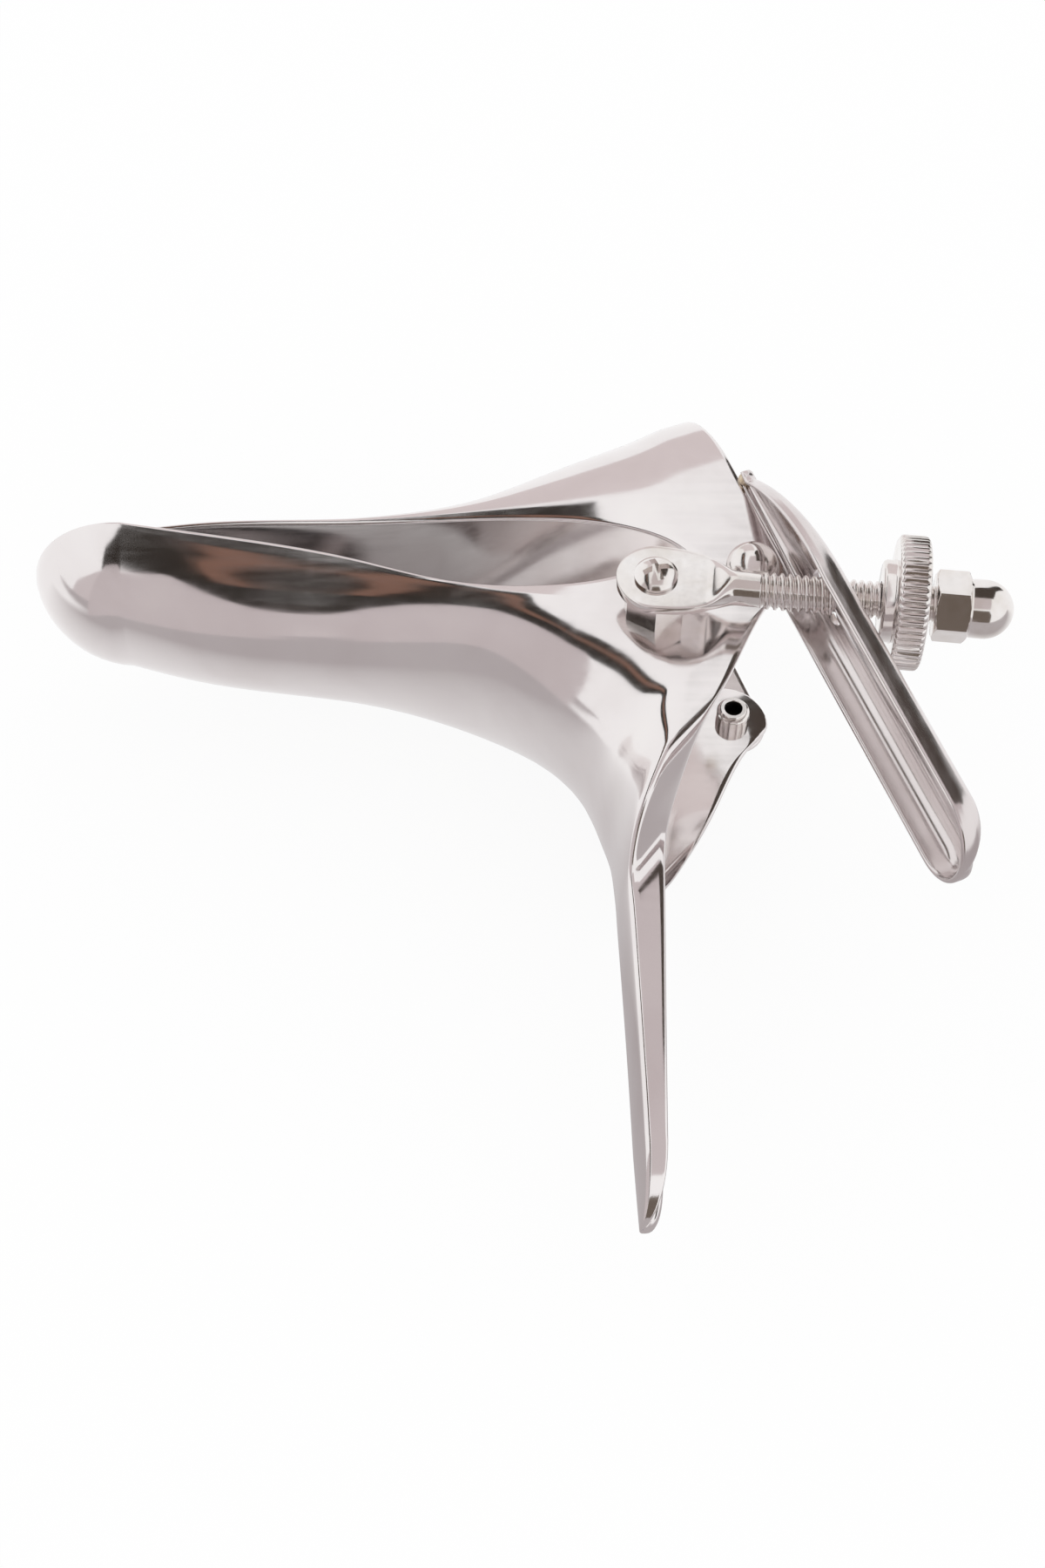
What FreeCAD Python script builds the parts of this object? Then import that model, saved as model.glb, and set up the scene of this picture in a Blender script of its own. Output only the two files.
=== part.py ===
"""Bivalve speculum: two pressed valves on a common hinge, held open by an eye bolt and a thumb nut.

Every solid is drawn about the hinge axis: X towards the mouth and the lever, Y towards the upper
valve, Z along the hinge towards the side that carries the screw. The placements then stand the
instrument on its far side, with the origin under the middle of its box.
"""
import FreeCAD, Part
import math
import os
import re
import Sketcher

doc = FreeCAD.newDocument("speculum")
sheet = doc.addObject("Spreadsheet::Sheet", "Sizes")

SIZES = (
    ("hinge_x", 40.9, "place of the hinge axis in the row frame"),
    ("hinge_y", 30.0, "place of the hinge axis in the row frame"),
    ("hinge_z", 25.2, "height of the mid plane between the two hinges"),
    ("sheet_thick", 1.0, "pressed sheet of both valves"),
    ("hinge_half_width", 21.5, "mid plane to the outer face of a lower flange"),
    ("hinge_gap", 0.08, "running gap between a flange, an ear and a rivet head"),
    ("hinge_corner", 6.25, "radius of the flange and ear corners about the hinge"),
    ("blade_reach", 121.6, "hinge axis to the tip of the lower blade"),
    ("blade_half_width", 15.5, "half width of the lower blade"),
    ("tip_round", 16.6, "length of the rounded tip of the lower blade"),
    ("gutter_depth", 15.0, "depth of the lower blade at its tip shoulder"),
    ("rim_tip_height", 15.6, "lower rim over the hinge axis at the tip shoulder"),
    ("rim_throat_height", 0.9, "lower rim over the hinge axis at the throat"),
    ("throat_reach", 48.0, "hinge axis to the throat, where the flanges start"),
    ("throat_depth", 9.5, "throat floor under the hinge axis"),
    ("heel_drop", 45.5, "hinge axis down to the heel, where the handle starts"),
    ("heel_reach", 22.6, "hinge axis back to the heel"),
    ("handle_reach", 104.6, "hinge axis down to the end of the handle"),
    ("handle_round", 12.6, "length of the rounded end of the handle"),
    ("handle_half_width", 7.5, "half width of the handle at its lower end"),
    ("handle_neck_half_width", 9.4, "half width of the handle under the flanges"),
    ("handle_rear", 16.0, "handle rims behind the hinge axis at the lower end"),
    ("handle_depth", 4.8, "depth of the handle channel at its lower end"),
    ("upper_reach", 113.5, "hinge axis to the tip of the upper blade"),
    ("upper_tip_round", 9.5, "length of the rounded tip of the upper blade"),
    ("upper_half_width", 14.0, "half width of the upper blade"),
    ("upper_rim_height", 15.9, "upper rim over the hinge axis along the blade"),
    ("upper_crown", 3.0, "crown of the upper blade over its rims"),
    ("hood_height", 43.4, "hinge axis up to the peak of the hood"),
    ("hood_lean", 10.5, "how far the peak of the hood stands in front of the hinge axis"),
    ("hood_round", 22.0, "height of the rounded top of the hood at its mouth"),
    ("rivet_bore", 4.0, "hinge rivet shank diameter"),
    ("rivet_fit", 0.05, "radial running clearance of the rivet in the ear"),
    ("rivet_head", 8.7, "domed rivet head diameter"),
    ("rivet_dome", 2.3, "height of the rivet dome"),
    ("rivet_tail", 4.75, "outer diameter of the hollow rivet end"),
    ("rivet_hole", 3.1, "bore of the hollow rivet end"),
    ("rivet_tail_height", 2.2, "hollow end proud of its washer"),
    ("rivet_hole_depth", 3.4, "depth of the hollow rivet end"),
    ("washer_outer", 5.9, "rivet washer diameter"),
    ("washer_thick", 1.3, "rivet washer thickness"),
    ("pivot_x", -16.15, "eye pivot from the hinge axis"),
    ("pivot_y", -7.0, "eye pivot from the hinge axis"),
    ("boss_flats", 9.0, "pivot boss across flats"),
    ("boss_height", 6.0, "pivot boss height over the flange"),
    ("boss_spigot", 5.0, "diameter of the spigot that holds the boss in the flange"),
    ("spigot_proud", 0.4, "peened end of the spigot inside the flange"),
    ("pivot_gap", 0.05, "running gap of the eye on its boss and under the screw head"),
    ("pivot_fit", 0.06, "radial running clearance of the eye on the screw"),
    ("screw_shank", 3.5, "pivot screw shank diameter"),
    ("screw_head", 6.9, "pivot screw head diameter"),
    ("screw_head_height", 2.2, "pivot screw head height"),
    ("screw_depth", 5.0, "screw thread engaged in the boss"),
    ("recess_span", 4.3, "cross recess across its arms"),
    ("recess_slot", 1.0, "width of an arm of the cross recess"),
    ("recess_depth", 1.2, "depth of the cross recess"),
    ("eye_radius", 6.0, "eye plate radius"),
    ("eye_thick", 1.8, "eye plate thickness"),
    ("eye_rise", 0.4, "how far the eye plate stands over the rod axis"),
    ("eye_neck", 11.8, "pivot to the neck where the eye plate meets the shank"),
    ("eye_shoulder", 3.0, "length of the cone that runs from the eye plate into the shank"),
    ("rod_tilt", 6.2, "slope of the rod below the horizontal at rest, degrees"),
    ("shank_diameter", 5.6, "plain shank of the rod"),
    ("shank_end", 16.6, "pivot to the end of the plain shank"),
    ("thread_diameter", 5.95, "outer diameter of the rod thread"),
    ("nut_start", 35.35, "pivot to the hub face of the thumb nut at rest"),
    ("nut_hub_diameter", 13.0, "hub of the thumb nut"),
    ("nut_hub_length", 2.0, "hub of the thumb nut"),
    ("nut_diameter", 21.2, "knurled rim of the thumb nut"),
    ("nut_width", 4.9, "knurled rim of the thumb nut"),
    ("nut_chamfer", 0.7, "chamfer of the knurled rim"),
    ("nut_fit", 0.05, "radial running clearance of the nut on the rod"),
    ("cap_start", 43.75, "pivot to the face of the cap nut"),
    ("cap_flats", 10.0, "cap nut across flats"),
    ("cap_hex_length", 5.4, "hexagon of the cap nut"),
    ("cap_dome", 9.3, "dome diameter of the cap nut"),
    ("cap_length", 12.5, "overall length of the cap nut"),
    ("cap_thread_depth", 8.5, "rod engaged in the cap nut"),
    ("lever_sheet", 1.0, "pressed sheet of the thumb lever"),
    ("lever_slope", 69.4, "slope of the hood mouth and of the lever, degrees"),
    ("lever_back", 1.8, "back of the lever in front of the hood mouth"),
    ("lever_seam", 1.0, "weld seam of the lever behind the hood mouth"),
    ("weld_gap", 0.05, "gap left in the weld seam"),
    ("lever_top", 19.6, "hinge axis back along the mouth to the top of the lever"),
    ("lever_rise", 34.0, "length over which the lever widens from its top"),
    ("lever_width", 15.4, "near wall of the lever over the ear"),
    ("lever_length", 65.0, "hinge axis along the lever to its end"),
    ("lever_end_round", 8.0, "length of the rounded end of the lever"),
    ("lever_near_depth", 4.0, "depth of the near wall of the lever"),
    ("lever_far_depth", 5.4, "depth of the far wall of the lever"),
    ("lever_corner", 2.6, "outside corner radius of the lever channel"),
    ("lever_rib", 1.0, "height of the rib pressed into the lever"),
    ("lever_rib_half_width", 3.4, "half width of the rib"),
    ("slot_width", 7.2, "rod slot across the lever"),
    ("slot_length", 10.0, "rod slot along the lever"),
    ("bead_radius", 1.3, "braze bead at the top of the lever"),
)

for row_number, (alias, number, note) in enumerate(SIZES, start=1):
    sheet.set(f"A{row_number}", alias)
    sheet.set(f"B{row_number}", str(number))
    sheet.set(f"C{row_number}", note)
    sheet.setAlias(f"B{row_number}", alias)
doc.recompute()


def size(alias):
    """The value of one driving dimension."""
    return float(sheet.get(alias))


def mix(a, b, share):
    """The value a share of the way from a to b."""
    return a + (b - a) * share


def natural_cubic(knots, values):
    """The natural cubic spline through values at knots, as a function."""
    last = len(knots) - 1
    bends = [0.0] * (last + 1)
    factors = [0.0] * (last + 1)
    loads = [0.0] * (last + 1)
    for i in range(1, last):
        before = knots[i] - knots[i - 1]
        after = knots[i + 1] - knots[i]
        slope_change = (values[i + 1] - values[i]) / after - (values[i] - values[i - 1]) / before
        pivot = 2 * (before + after) - before * factors[i - 1]
        factors[i] = after / pivot
        loads[i] = (6 * slope_change - before * loads[i - 1]) / pivot
    for i in range(last - 1, 0, -1):
        bends[i] = loads[i] - factors[i] * bends[i + 1]

    def value(knot):
        i = 0
        while i < last - 1 and knot > knots[i + 1]:
            i += 1
        span = knots[i + 1] - knots[i]
        a = (knots[i + 1] - knot) / span
        b = 1 - a
        curve = ((a**3 - a) * bends[i] + (b**3 - b) * bends[i + 1]) * span * span / 6
        return a * values[i] + b * values[i + 1] + curve

    return value


def stations_at(rows, steps):
    """Stations at the given steps of the natural cubics through the guide rows."""
    knots = [row[0] for row in rows]
    curves = [natural_cubic(knots, [row[i] for row in rows]) for i in range(1, len(rows[0]))]
    return [tuple(curve(step) for curve in curves) for step in steps]


def capped(stations, widest):
    """The stations with no half width over the flat flanges'."""
    return [station[:4] + (min(station[4], widest), station[5]) for station in stations]


ARC = 0.5523
CAP_STEPS = 3
CAP_END = 0.93


def gutter_section(station):
    """One U section of a valve as control points: wall, quarter, quarter, wall, far rim to near rim."""
    rim_x, rim_y, floor_x, floor_y, half_width, round_depth = station
    depth = math.hypot(rim_x - floor_x, rim_y - floor_y)
    up_x = (rim_x - floor_x) / depth
    up_y = (rim_y - floor_y) / depth
    wall = ((depth, half_width), (round_depth, half_width))
    quarter = (wall[1], (round_depth * (1 - ARC), half_width), (0.0, half_width * ARC), (0.0, 0.0))
    strips = []
    for side, pieces in ((-1, (wall, quarter)), (1, (quarter[::-1], wall[::-1]))):
        for piece in pieces:
            strips.append([FreeCAD.Vector(floor_x + up_x * rise, floor_y + up_y * rise, side * out)
                           for rise, out in piece])
    return strips


def rounded_end(station, pole_x, pole_y, along_floor=False):
    """Stations that close a gutter to a rounded end at the pole."""
    rim_x, rim_y, floor_x, floor_y, half_width, round_depth = station
    start_x, start_y = (floor_x, floor_y) if along_floor else (rim_x, rim_y)
    stations = []
    for i in range(1, CAP_STEPS + 1):
        turn = math.pi / 2 * CAP_END * i / CAP_STEPS
        x = mix(start_x, pole_x, math.sin(turn))
        y = mix(start_y, pole_y, math.sin(turn))
        shrink = math.cos(turn)
        across_x = (rim_x - floor_x) * shrink
        across_y = (rim_y - floor_y) * shrink
        rim = (x + across_x, y + across_y) if along_floor else (x, y)
        floor = (x, y) if along_floor else (x - across_x, y - across_y)
        stations.append(rim + floor + (half_width * shrink, round_depth * shrink))
    return stations


def inner_stations(stations, thick):
    """The same stations for the inside of the sheet: floor raised, walls moved in."""
    inside = []
    last = len(stations) - 1
    for i, (rim_x, rim_y, floor_x, floor_y, half_width, round_depth) in enumerate(stations):
        before = stations[max(i - 1, 0)]
        after = stations[min(i + 1, last)]
        run_x = after[2] - before[2]
        run_y = after[3] - before[3]
        depth = math.hypot(rim_x - floor_x, rim_y - floor_y)
        up_x = (rim_x - floor_x) / depth
        up_y = (rim_y - floor_y) / depth
        across = abs(up_x * run_y - up_y * run_x) / math.hypot(run_x, run_y)
        lift = thick / max(across, 0.7)
        inside.append((rim_x, rim_y, floor_x + up_x * lift, floor_y + up_y * lift,
                       half_width - thick, round_depth - lift))
    return inside


SEW_GAP = 0.001


def travel(sections):
    """Parameters for the sections: the mean distance that their control points have moved."""
    places = [0.0]
    for before, after in zip(sections, sections[1:]):
        moves = [(q - p).Length for one, two in zip(before, after) for p, q in zip(one, two)]
        places.append(places[-1] + sum(moves) / len(moves))
    return places


def level_slopes(places, values):
    """Slopes for a run of values that never swings past them, so that a flat stretch stays flat."""
    secants = [(after - before) / (end - start)
               for before, after, start, end in zip(values, values[1:], places, places[1:])]
    slopes = [secants[0]]
    for before, after in zip(secants, secants[1:]):
        slopes.append(2 * before * after / (before + after) if before * after > 0 else 0.0)
    return slopes + [secants[-1]]


def smooth_slopes(places, values):
    """Slopes for a run of values that bends as evenly as a natural spline."""
    curve = natural_cubic(places, values)
    step = 1e-4
    slopes = []
    for place in places:
        low = max(place - step, places[0])
        high = min(place + step, places[-1])
        slopes.append((curve(high) - curve(low)) / (high - low))
    return slopes


def row_slopes(points, places, plan_slopes):
    """The direction of a row of control points at each section, never past a level in height."""
    axes = list(zip(*points))
    slopes = [plan_slopes(places, axes[0]), plan_slopes(places, axes[1]), level_slopes(places, axes[2])]
    return [FreeCAD.Vector(*slope) for slope in zip(*slopes)]


def strip_faces(strips, places, plan_slopes):
    """Patches that run smoothly along one strip of control points, one between each two sections."""
    rows = [list(points) for points in zip(*strips)]
    slopes = [row_slopes(row, places, plan_slopes) for row in rows]
    faces = []
    for i in range(len(strips) - 1):
        third = (places[i + 1] - places[i]) / 3
        poles = [[row[i], row[i] + slope[i] * third, row[i + 1] - slope[i + 1] * third, row[i + 1]]
                 for row, slope in zip(rows, slopes)]
        faces.append(patch(poles))
    return faces


def patch(poles):
    """One face from a grid of control points."""
    surface = Part.BSplineSurface()
    across, along = len(poles), len(poles[0])
    surface.buildFromPolesMultsKnots(poles, [across, across], [along, along], [0.0, 1.0], [0.0, 1.0],
                                     False, False, across - 1, along - 1)
    return surface.toShape()


def sheet_solid(outer, inner, plan_slopes):
    """A closed sheet between its outer and inner sections."""
    places = travel(outer)
    faces = []
    for sections in (outer, inner):
        for strips in zip(*sections):
            faces += strip_faces(strips, places, plan_slopes)
    for strip, point in ((0, 0), (-1, -1)):
        rim = [(out[strip][point], into[strip][point]) for out, into in zip(outer, inner)]
        faces += strip_faces(rim, places, plan_slopes)
    for end in (0, -1):
        for pair in zip(outer[end], inner[end]):
            faces.append(patch(pair))
    shell = Part.Compound(faces)
    shell.sewShape(SEW_GAP)
    solid = Part.Solid(shell.Shells[0])
    if solid.Volume < 0:
        solid.reverse()
    return solid


def valve_sheet(stations, tip, end=None):
    """The pressed sheet of a valve: a gutter through its stations, closed by rounded ends."""
    thick = size("sheet_thick")
    grids = []
    for inset in (0.0, thick):
        run = inner_stations(stations, thick) if inset else stations
        whole = rounded_end(run[0], tip[0] + inset, tip[1])[::-1] + run
        if end:
            whole += rounded_end(run[-1], end[0], end[1] + inset, along_floor=True)
        grids.append([gutter_section(station) for station in whole])
    return sheet_solid(grids[0], grids[1], smooth_slopes)


LOWER_STEPS = (0.0, 0.2, 0.4, 0.55, 0.66, 0.74, 0.8, 0.84, 0.9, 1.0, 1.09, 1.17, 1.3, 1.5, 1.7)
UPPER_STEPS = (0.0, 0.2, 0.4, 0.55, 0.7, 0.8, 0.9, 0.98, 1.04, 1.08, 1.12)


def corner_point(radius, angle):
    """A point of the rounded flange corner, seen from the hinge axis."""
    return radius * math.cos(math.radians(angle)), radius * math.sin(math.radians(angle))


def lower_valve_sheet():
    """Lower blade, flanges and handle: one gutter bent down at the heel."""
    reach = size("blade_reach") - size("tip_round")
    half = size("blade_half_width")
    tip_rim = size("rim_tip_height")
    tip_floor = tip_rim - size("gutter_depth")
    throat = size("throat_reach")
    throat_rim = size("rim_throat_height")
    floor = -size("throat_depth")
    wide = size("hinge_half_width")
    corner = size("hinge_corner")
    heel_x = -size("heel_reach")
    heel_y = -size("heel_drop")
    neck = size("handle_neck_half_width")
    end_y = size("handle_round") - size("handle_reach")
    rear = -size("handle_rear")
    end_floor = rear - size("handle_depth")
    mid_blade = mix(reach, throat, 0.7)
    upper_corner = corner_point(corner, 60)
    lower_corner = corner_point(corner, -60)
    rows = (
        (0.00, -reach, tip_rim, -reach, tip_floor, half, 13.5),
        (0.14, mix(-reach, -throat, 0.26), mix(tip_rim, throat_rim, 0.18),
         mix(-reach, -throat, 0.26), mix(tip_floor, floor, 0.37), half + 0.2, 13.5),
        (0.34, -mid_blade, mix(tip_rim, throat_rim, 0.57), -mid_blade - 1, mix(tip_floor, floor, 0.68),
         half + 0.7, 11.6),
        (0.48, -throat, throat_rim, -throat - 5, floor + 0.9, mix(half, wide, 0.45), 10.0),
        (0.58, -33.0, -1.9, -43.5, -11.8, wide - 0.7, 9.5),
        (0.66, -20.0, 0.2, -35.5, -17.4, wide, 9.2),
        (0.74, -7.0, corner - 0.05, -30.0, -23.6, wide, 9.0),
        (0.80, upper_corner[0], upper_corner[1], -27.6, -27.8, wide, 9.0),
        (0.84, corner, 0.0, -26.3, -31.0, wide, 9.0),
        (0.90, lower_corner[0], lower_corner[1], -24.9, -35.0, wide, 9.0),
        (1.00, -4.2, -19.8, -23.2, heel_y + 5.0, wide, 8.5),
        (1.08, -9.3, -29.5, heel_x, heel_y, wide - 0.9, 8.0),
        (1.14, -12.3, -36.0, heel_x + 0.2, heel_y - 3.0, mix(neck, wide, 0.6), 7.5),
        (1.20, rear + 1.6, -41.5, heel_x + 0.3, heel_y - 6.5, neck + 2.1, 6.5),
        (1.28, rear + 0.9, -50.0, heel_x + 0.5, heel_y - 11.5, neck - 0.1, 5.5),
        (1.50, rear + 0.4, -72.0, mix(heel_x, end_floor, 0.7), -75.0, neck - 1.0, 4.6),
        (1.70, rear, end_y, end_floor, end_y, size("handle_half_width"), size("handle_depth") - 0.8),
    )
    stations = stations_at(rows, LOWER_STEPS)
    tip = (-size("blade_reach"), tip_rim + 0.6)
    end = (end_floor + 0.6, -size("handle_reach"))
    return valve_sheet(capped(stations, wide), tip, end)


def upper_valve_sheet():
    """Upper blade, hood and ears, cut off at the slanted mouth."""
    reach = size("upper_reach") - size("upper_tip_round")
    half = size("upper_half_width")
    rim = size("upper_rim_height")
    crown = size("upper_crown")
    wide = size("hinge_half_width") + size("hinge_gap") + size("sheet_thick")
    corner = size("hinge_corner")
    peak_x = -size("hood_lean")
    peak_y = size("hood_height")
    mouth_round = size("hood_round")
    low_corner = corner_point(corner, -45)
    rows = (
        (0.00, -reach, rim - 0.9, -reach, rim + crown - 1.6, half - 1.0, 2.2),
        (0.14, -90.0, rim, -90.0, rim + crown - 0.1, half, 2.8),
        (0.34, -70.0, rim, -70.0, rim + crown + 0.8, half + 0.5, 3.4),
        (0.50, -54.0, rim - 0.5, -54.0, rim + crown + 3.0, half + 1.8, 5.4),
        (0.60, -44.0, rim - 1.3, -45.0, rim + crown + 6.3, mix(half, wide, 0.4), 9.0),
        (0.70, -33.0, rim - 3.1, -36.0, peak_y - 12.7, mix(half, wide, 0.65), 15.5),
        (0.80, -22.0, rim - 6.3, -27.0, peak_y - 7.9, wide - 0.6, 21.5),
        (0.90, -12.1, 4.9, -19.0, peak_y - 4.0, wide, mouth_round + 1.0),
        (0.98, -6.0, -2.0, -14.5, peak_y - 1.5, wide, mouth_round + 0.6),
        (1.04, 0.0, -corner, -12.5, peak_y - 0.7, wide, mouth_round + 0.3),
        (1.08, low_corner[0], low_corner[1], -11.5, peak_y - 0.3, wide, mouth_round + 0.1),
        (1.12, corner, 0.0, peak_x, peak_y, wide, mouth_round),
    )
    stations = stations_at(rows, UPPER_STEPS)
    return valve_sheet(capped(stations, wide), (-size("upper_reach"), rim - 1.4))


LEVER_STATIONS = 7


def lever_section(place, near, far, back, near_depth, far_depth, corner, rib):
    """One U section of the lever as control points, from its far rim to its near rim."""
    near_corner = min(corner, near_depth * 0.8, (near - far) * 0.4)
    far_corner = min(corner, far_depth * 0.8, (near - far) * 0.4)
    web_low = far + far_corner
    web_high = near - near_corner
    middle = (web_low + web_high) / 2
    rib_half = min(size("lever_rib_half_width"), (web_high - web_low) * 0.4)
    low_foot = (back, middle - rib_half)
    high_foot = (back, middle + rib_half)
    crest = (back - rib, middle)
    ease = rib_half * 0.45
    far_wall = ((back - far_depth, far), (back - far_corner, far))
    far_bend = (far_wall[1], (back - far_corner * (1 - ARC), far), (back, far + far_corner * (1 - ARC)),
                (back, web_low))
    near_bend = ((back, web_high), (back, near - near_corner * (1 - ARC)),
                 (back - near_corner * (1 - ARC), near), (back - near_corner, near))
    near_wall = (near_bend[3], (back - near_depth, near))
    strips = (
        far_wall,
        far_bend,
        (far_bend[3], low_foot),
        (low_foot, (back, low_foot[1] + ease), (crest[0], middle - ease), crest),
        (crest, (crest[0], middle + ease), (back, high_foot[1] - ease), high_foot),
        (high_foot, near_bend[0]),
        near_bend,
        near_wall,
    )
    return [[lever_point(place, across, height) for across, height in strip] for strip in strips]


def lever_point(along, across, height):
    """A point given along the lever, in front of the hood mouth and up the hinge axis."""
    slope = math.radians(size("lever_slope"))
    x = size("hinge_corner") + along * math.cos(slope) + across * math.sin(slope)
    y = -along * math.sin(slope) + across * math.cos(slope)
    return FreeCAD.Vector(x, y, height)


def lever_stations(inset):
    """Stations of the lever's outside, or of its inside when inset by the sheet."""
    thick = size("lever_sheet")
    far = size("hinge_half_width") + size("hinge_gap")
    top = -size("lever_top")
    straight_end = size("lever_length") - size("lever_end_round")
    back = size("lever_back") - inset
    seam_depth = size("lever_back") + size("lever_seam") - size("weld_gap")
    clear_of_ear = size("hinge_corner") * 0.3
    stations = []
    for i in range(LEVER_STATIONS + 1):
        along = mix(top, straight_end, i / LEVER_STATIONS)
        share = min((along - top) / size("lever_rise"), 1)
        raised = size("lever_width") * math.sin(share * math.pi / 2)
        near = max(far + size("sheet_thick") + raised, far + thick * 3.2)
        near_depth = mix(thick * 1.6, size("lever_near_depth"), share) - inset
        rib = size("lever_rib") * min(max(2 * share - 1, 0), 1)
        corner = max(size("lever_corner") * share, thick * 1.1) - inset
        below_ear = min(max((along - clear_of_ear) / (2 * clear_of_ear), 0), 1)
        eased = below_ear * below_ear * (3 - 2 * below_ear)
        far_depth = mix(seam_depth, size("lever_far_depth"), eased) - inset
        stations.append((along, near - inset, far + inset, back, near_depth, far_depth, corner, rib))
    along, near, far, back, near_depth, far_depth, corner, rib = stations[-1]
    middle = (near + far) / 2
    rim = back - (near_depth + far_depth) / 2
    for i in range(1, CAP_STEPS + 1):
        turn = math.pi / 2 * CAP_END * i / CAP_STEPS
        shrink = math.cos(turn)
        end = along + (size("lever_end_round") - inset) * math.sin(turn)
        stations.append((end, mix(middle, near, shrink), mix(middle, far, shrink), mix(rim, back, shrink),
                         near_depth * shrink, far_depth * shrink, corner * shrink, rib * shrink))
    return stations


def lever_sheet():
    """The lever: a channel that widens from its tip on the ear and ends in a rounded spoon."""
    outer = [lever_section(*station) for station in lever_stations(0.0)]
    inner = [lever_section(*station) for station in lever_stations(size("lever_sheet"))]
    return sheet_solid(outer, inner, level_slopes)


def named(text):
    """A size expression with its aliases written out for the sheet."""
    return re.sub(r"[a-z]+(_[a-z]+)+", r"Sizes.\g<0>", text)


def value_of(text):
    """The present value of a size expression."""
    return float(sheet.evalExpression(named(text)))


def bind(item, **bindings):
    """Tie properties of an object to size expressions."""
    for prop, text in bindings.items():
        item.setExpression(prop.replace("__", "."), named(text))


def stand(item, x="0", y="0", z="0", turn=None):
    """Place a finished piece, given about the hinge axis, in the row frame."""
    if turn:
        item.Placement = FreeCAD.Placement(FreeCAD.Vector(), turn)
    bind(item, Placement__Base__x=f"hinge_x + {x}", Placement__Base__y=f"hinge_y + {y}",
         Placement__Base__z=f"hinge_z + {z}")


def add(kind, name, **bindings):
    """A primitive whose sizes are tied to expressions."""
    item = doc.addObject(kind, name)
    bind(item, **bindings)
    return item


def cut(name, base, *tools):
    """The base with every tool taken away."""
    for number, tool in enumerate(tools, start=1):
        last = number == len(tools)
        result = doc.addObject("Part::Cut", name if last else f"{name}_cut_{number}")
        result.Base = base
        result.Tool = tool
        base = result
    return base


def sketch_on(body, role, name):
    """An empty sketch on one of the body's own planes."""
    sketch = body.newObject("Sketcher::SketchObject", name)
    plane = [feature for feature in body.Origin.OriginFeatures if feature.Role == role][0]
    sketch.AttachmentSupport = [(plane, "")]
    sketch.MapMode = "FlatFace"
    return sketch


ORIGIN = (-1, 1)
H_AXIS = -1
V_AXIS = -2
START, END, CENTRE = 1, 2, 3


def hold_point(sketch, element, end, x, y):
    """Tie one sketch point to size expressions, or to an axis where the expression is 0."""
    for text, axis, kind in ((x, V_AXIS, "DistanceX"), (y, H_AXIS, "DistanceY")):
        if text == "0":
            sketch.addConstraint(Sketcher.Constraint("PointOnObject", element, end, axis))
            continue
        index = sketch.addConstraint(Sketcher.Constraint(kind, *ORIGIN, element, end, value_of(text)))
        label = f"{kind}_{element}_{end}"
        sketch.renameConstraint(index, label)
        sketch.setExpression(f"Constraints.{label}", named(text))


def draw_outline(sketch, points, domes=()):
    """A closed outline through the points; a dome is an arc about the axis after its point."""
    spots = [FreeCAD.Vector(value_of(x), value_of(y), 0) for x, y in points]
    count = len(points)
    for i, start in enumerate(spots):
        end = spots[(i + 1) % count]
        if i in domes:
            base = abs(start.x)
            rise = end.y - start.y
            radius = (base**2 + rise**2) / (2 * rise)
            centre = FreeCAD.Vector(0, end.y - radius, 0)
            circle = Part.Circle(centre, FreeCAD.Vector(0, 0, 1), radius)
            first = math.atan2(start.y - centre.y, start.x)
            sketch.addGeometry(Part.ArcOfCircle(circle, first, math.pi / 2))
            sketch.addConstraint(Sketcher.Constraint("PointOnObject", i, CENTRE, V_AXIS))
        else:
            sketch.addGeometry(Part.LineSegment(start, end))
    for i, (x, y) in enumerate(points):
        sketch.addConstraint(Sketcher.Constraint("Coincident", i, END, (i + 1) % count, START))
        hold_point(sketch, i, START, x, y)


def turned(name, points, domes=()):
    """A body turned about its own Z axis from an outline of radius and height."""
    body = doc.addObject("PartDesign::Body", name)
    sketch = sketch_on(body, "XZ_Plane", f"{name}_outline")
    draw_outline(sketch, points, domes)
    turning = body.newObject("PartDesign::Revolution", f"{name}_turning")
    turning.Profile = sketch
    turning.ReferenceAxis = (sketch, ["V_Axis"])
    turning.Angle = 360
    sketch.Visibility = False
    return body


def shaped(name, shape):
    """A pressed sheet as an object of the document."""
    item = doc.addObject("Part::Feature", name)
    item.Shape = shape
    return item


FLANGE_INSIDE = "(hinge_half_width - sheet_thick)"
EAR_OUTSIDE = "(hinge_half_width + hinge_gap + sheet_thick)"
BOSS_TOP = "(hinge_half_width + boss_height)"
ROD_HEIGHT = "(hinge_half_width + boss_height + pivot_gap + eye_thick / 2 - eye_rise)"
UPSIDE_DOWN = FreeCAD.Rotation(FreeCAD.Vector(1, 0, 0), 180)
ALONG_ROD = FreeCAD.Rotation(FreeCAD.Vector(0, 0, 1), -size("rod_tilt"))
OUT_ON_ROD = ALONG_ROD.multiply(FreeCAD.Rotation(FreeCAD.Vector(0, 1, 0), 90))
ALONG_LEVER = FreeCAD.Rotation(FreeCAD.Vector(0, 0, 1), -size("lever_slope"))


def make_lower_valve():
    """The lower valve with its rivet holes and the hole that takes the pivot boss."""
    valve = shaped("lower_sheet", lower_valve_sheet())
    rivet_hole = add("Part::Cylinder", "lower_rivet_hole", Radius="rivet_bore / 2",
                     Height="2 * hinge_half_width", Placement__Base__z="-hinge_half_width")
    boss_hole = add("Part::Cylinder", "boss_hole", Radius="boss_spigot / 2", Height="2 * sheet_thick",
                    Placement__Base__x="pivot_x", Placement__Base__y="pivot_y",
                    Placement__Base__z="hinge_half_width - sheet_thick * 1.5")
    whole = cut("lower_valve", valve, rivet_hole, boss_hole)
    stand(whole)
    return whole


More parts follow.
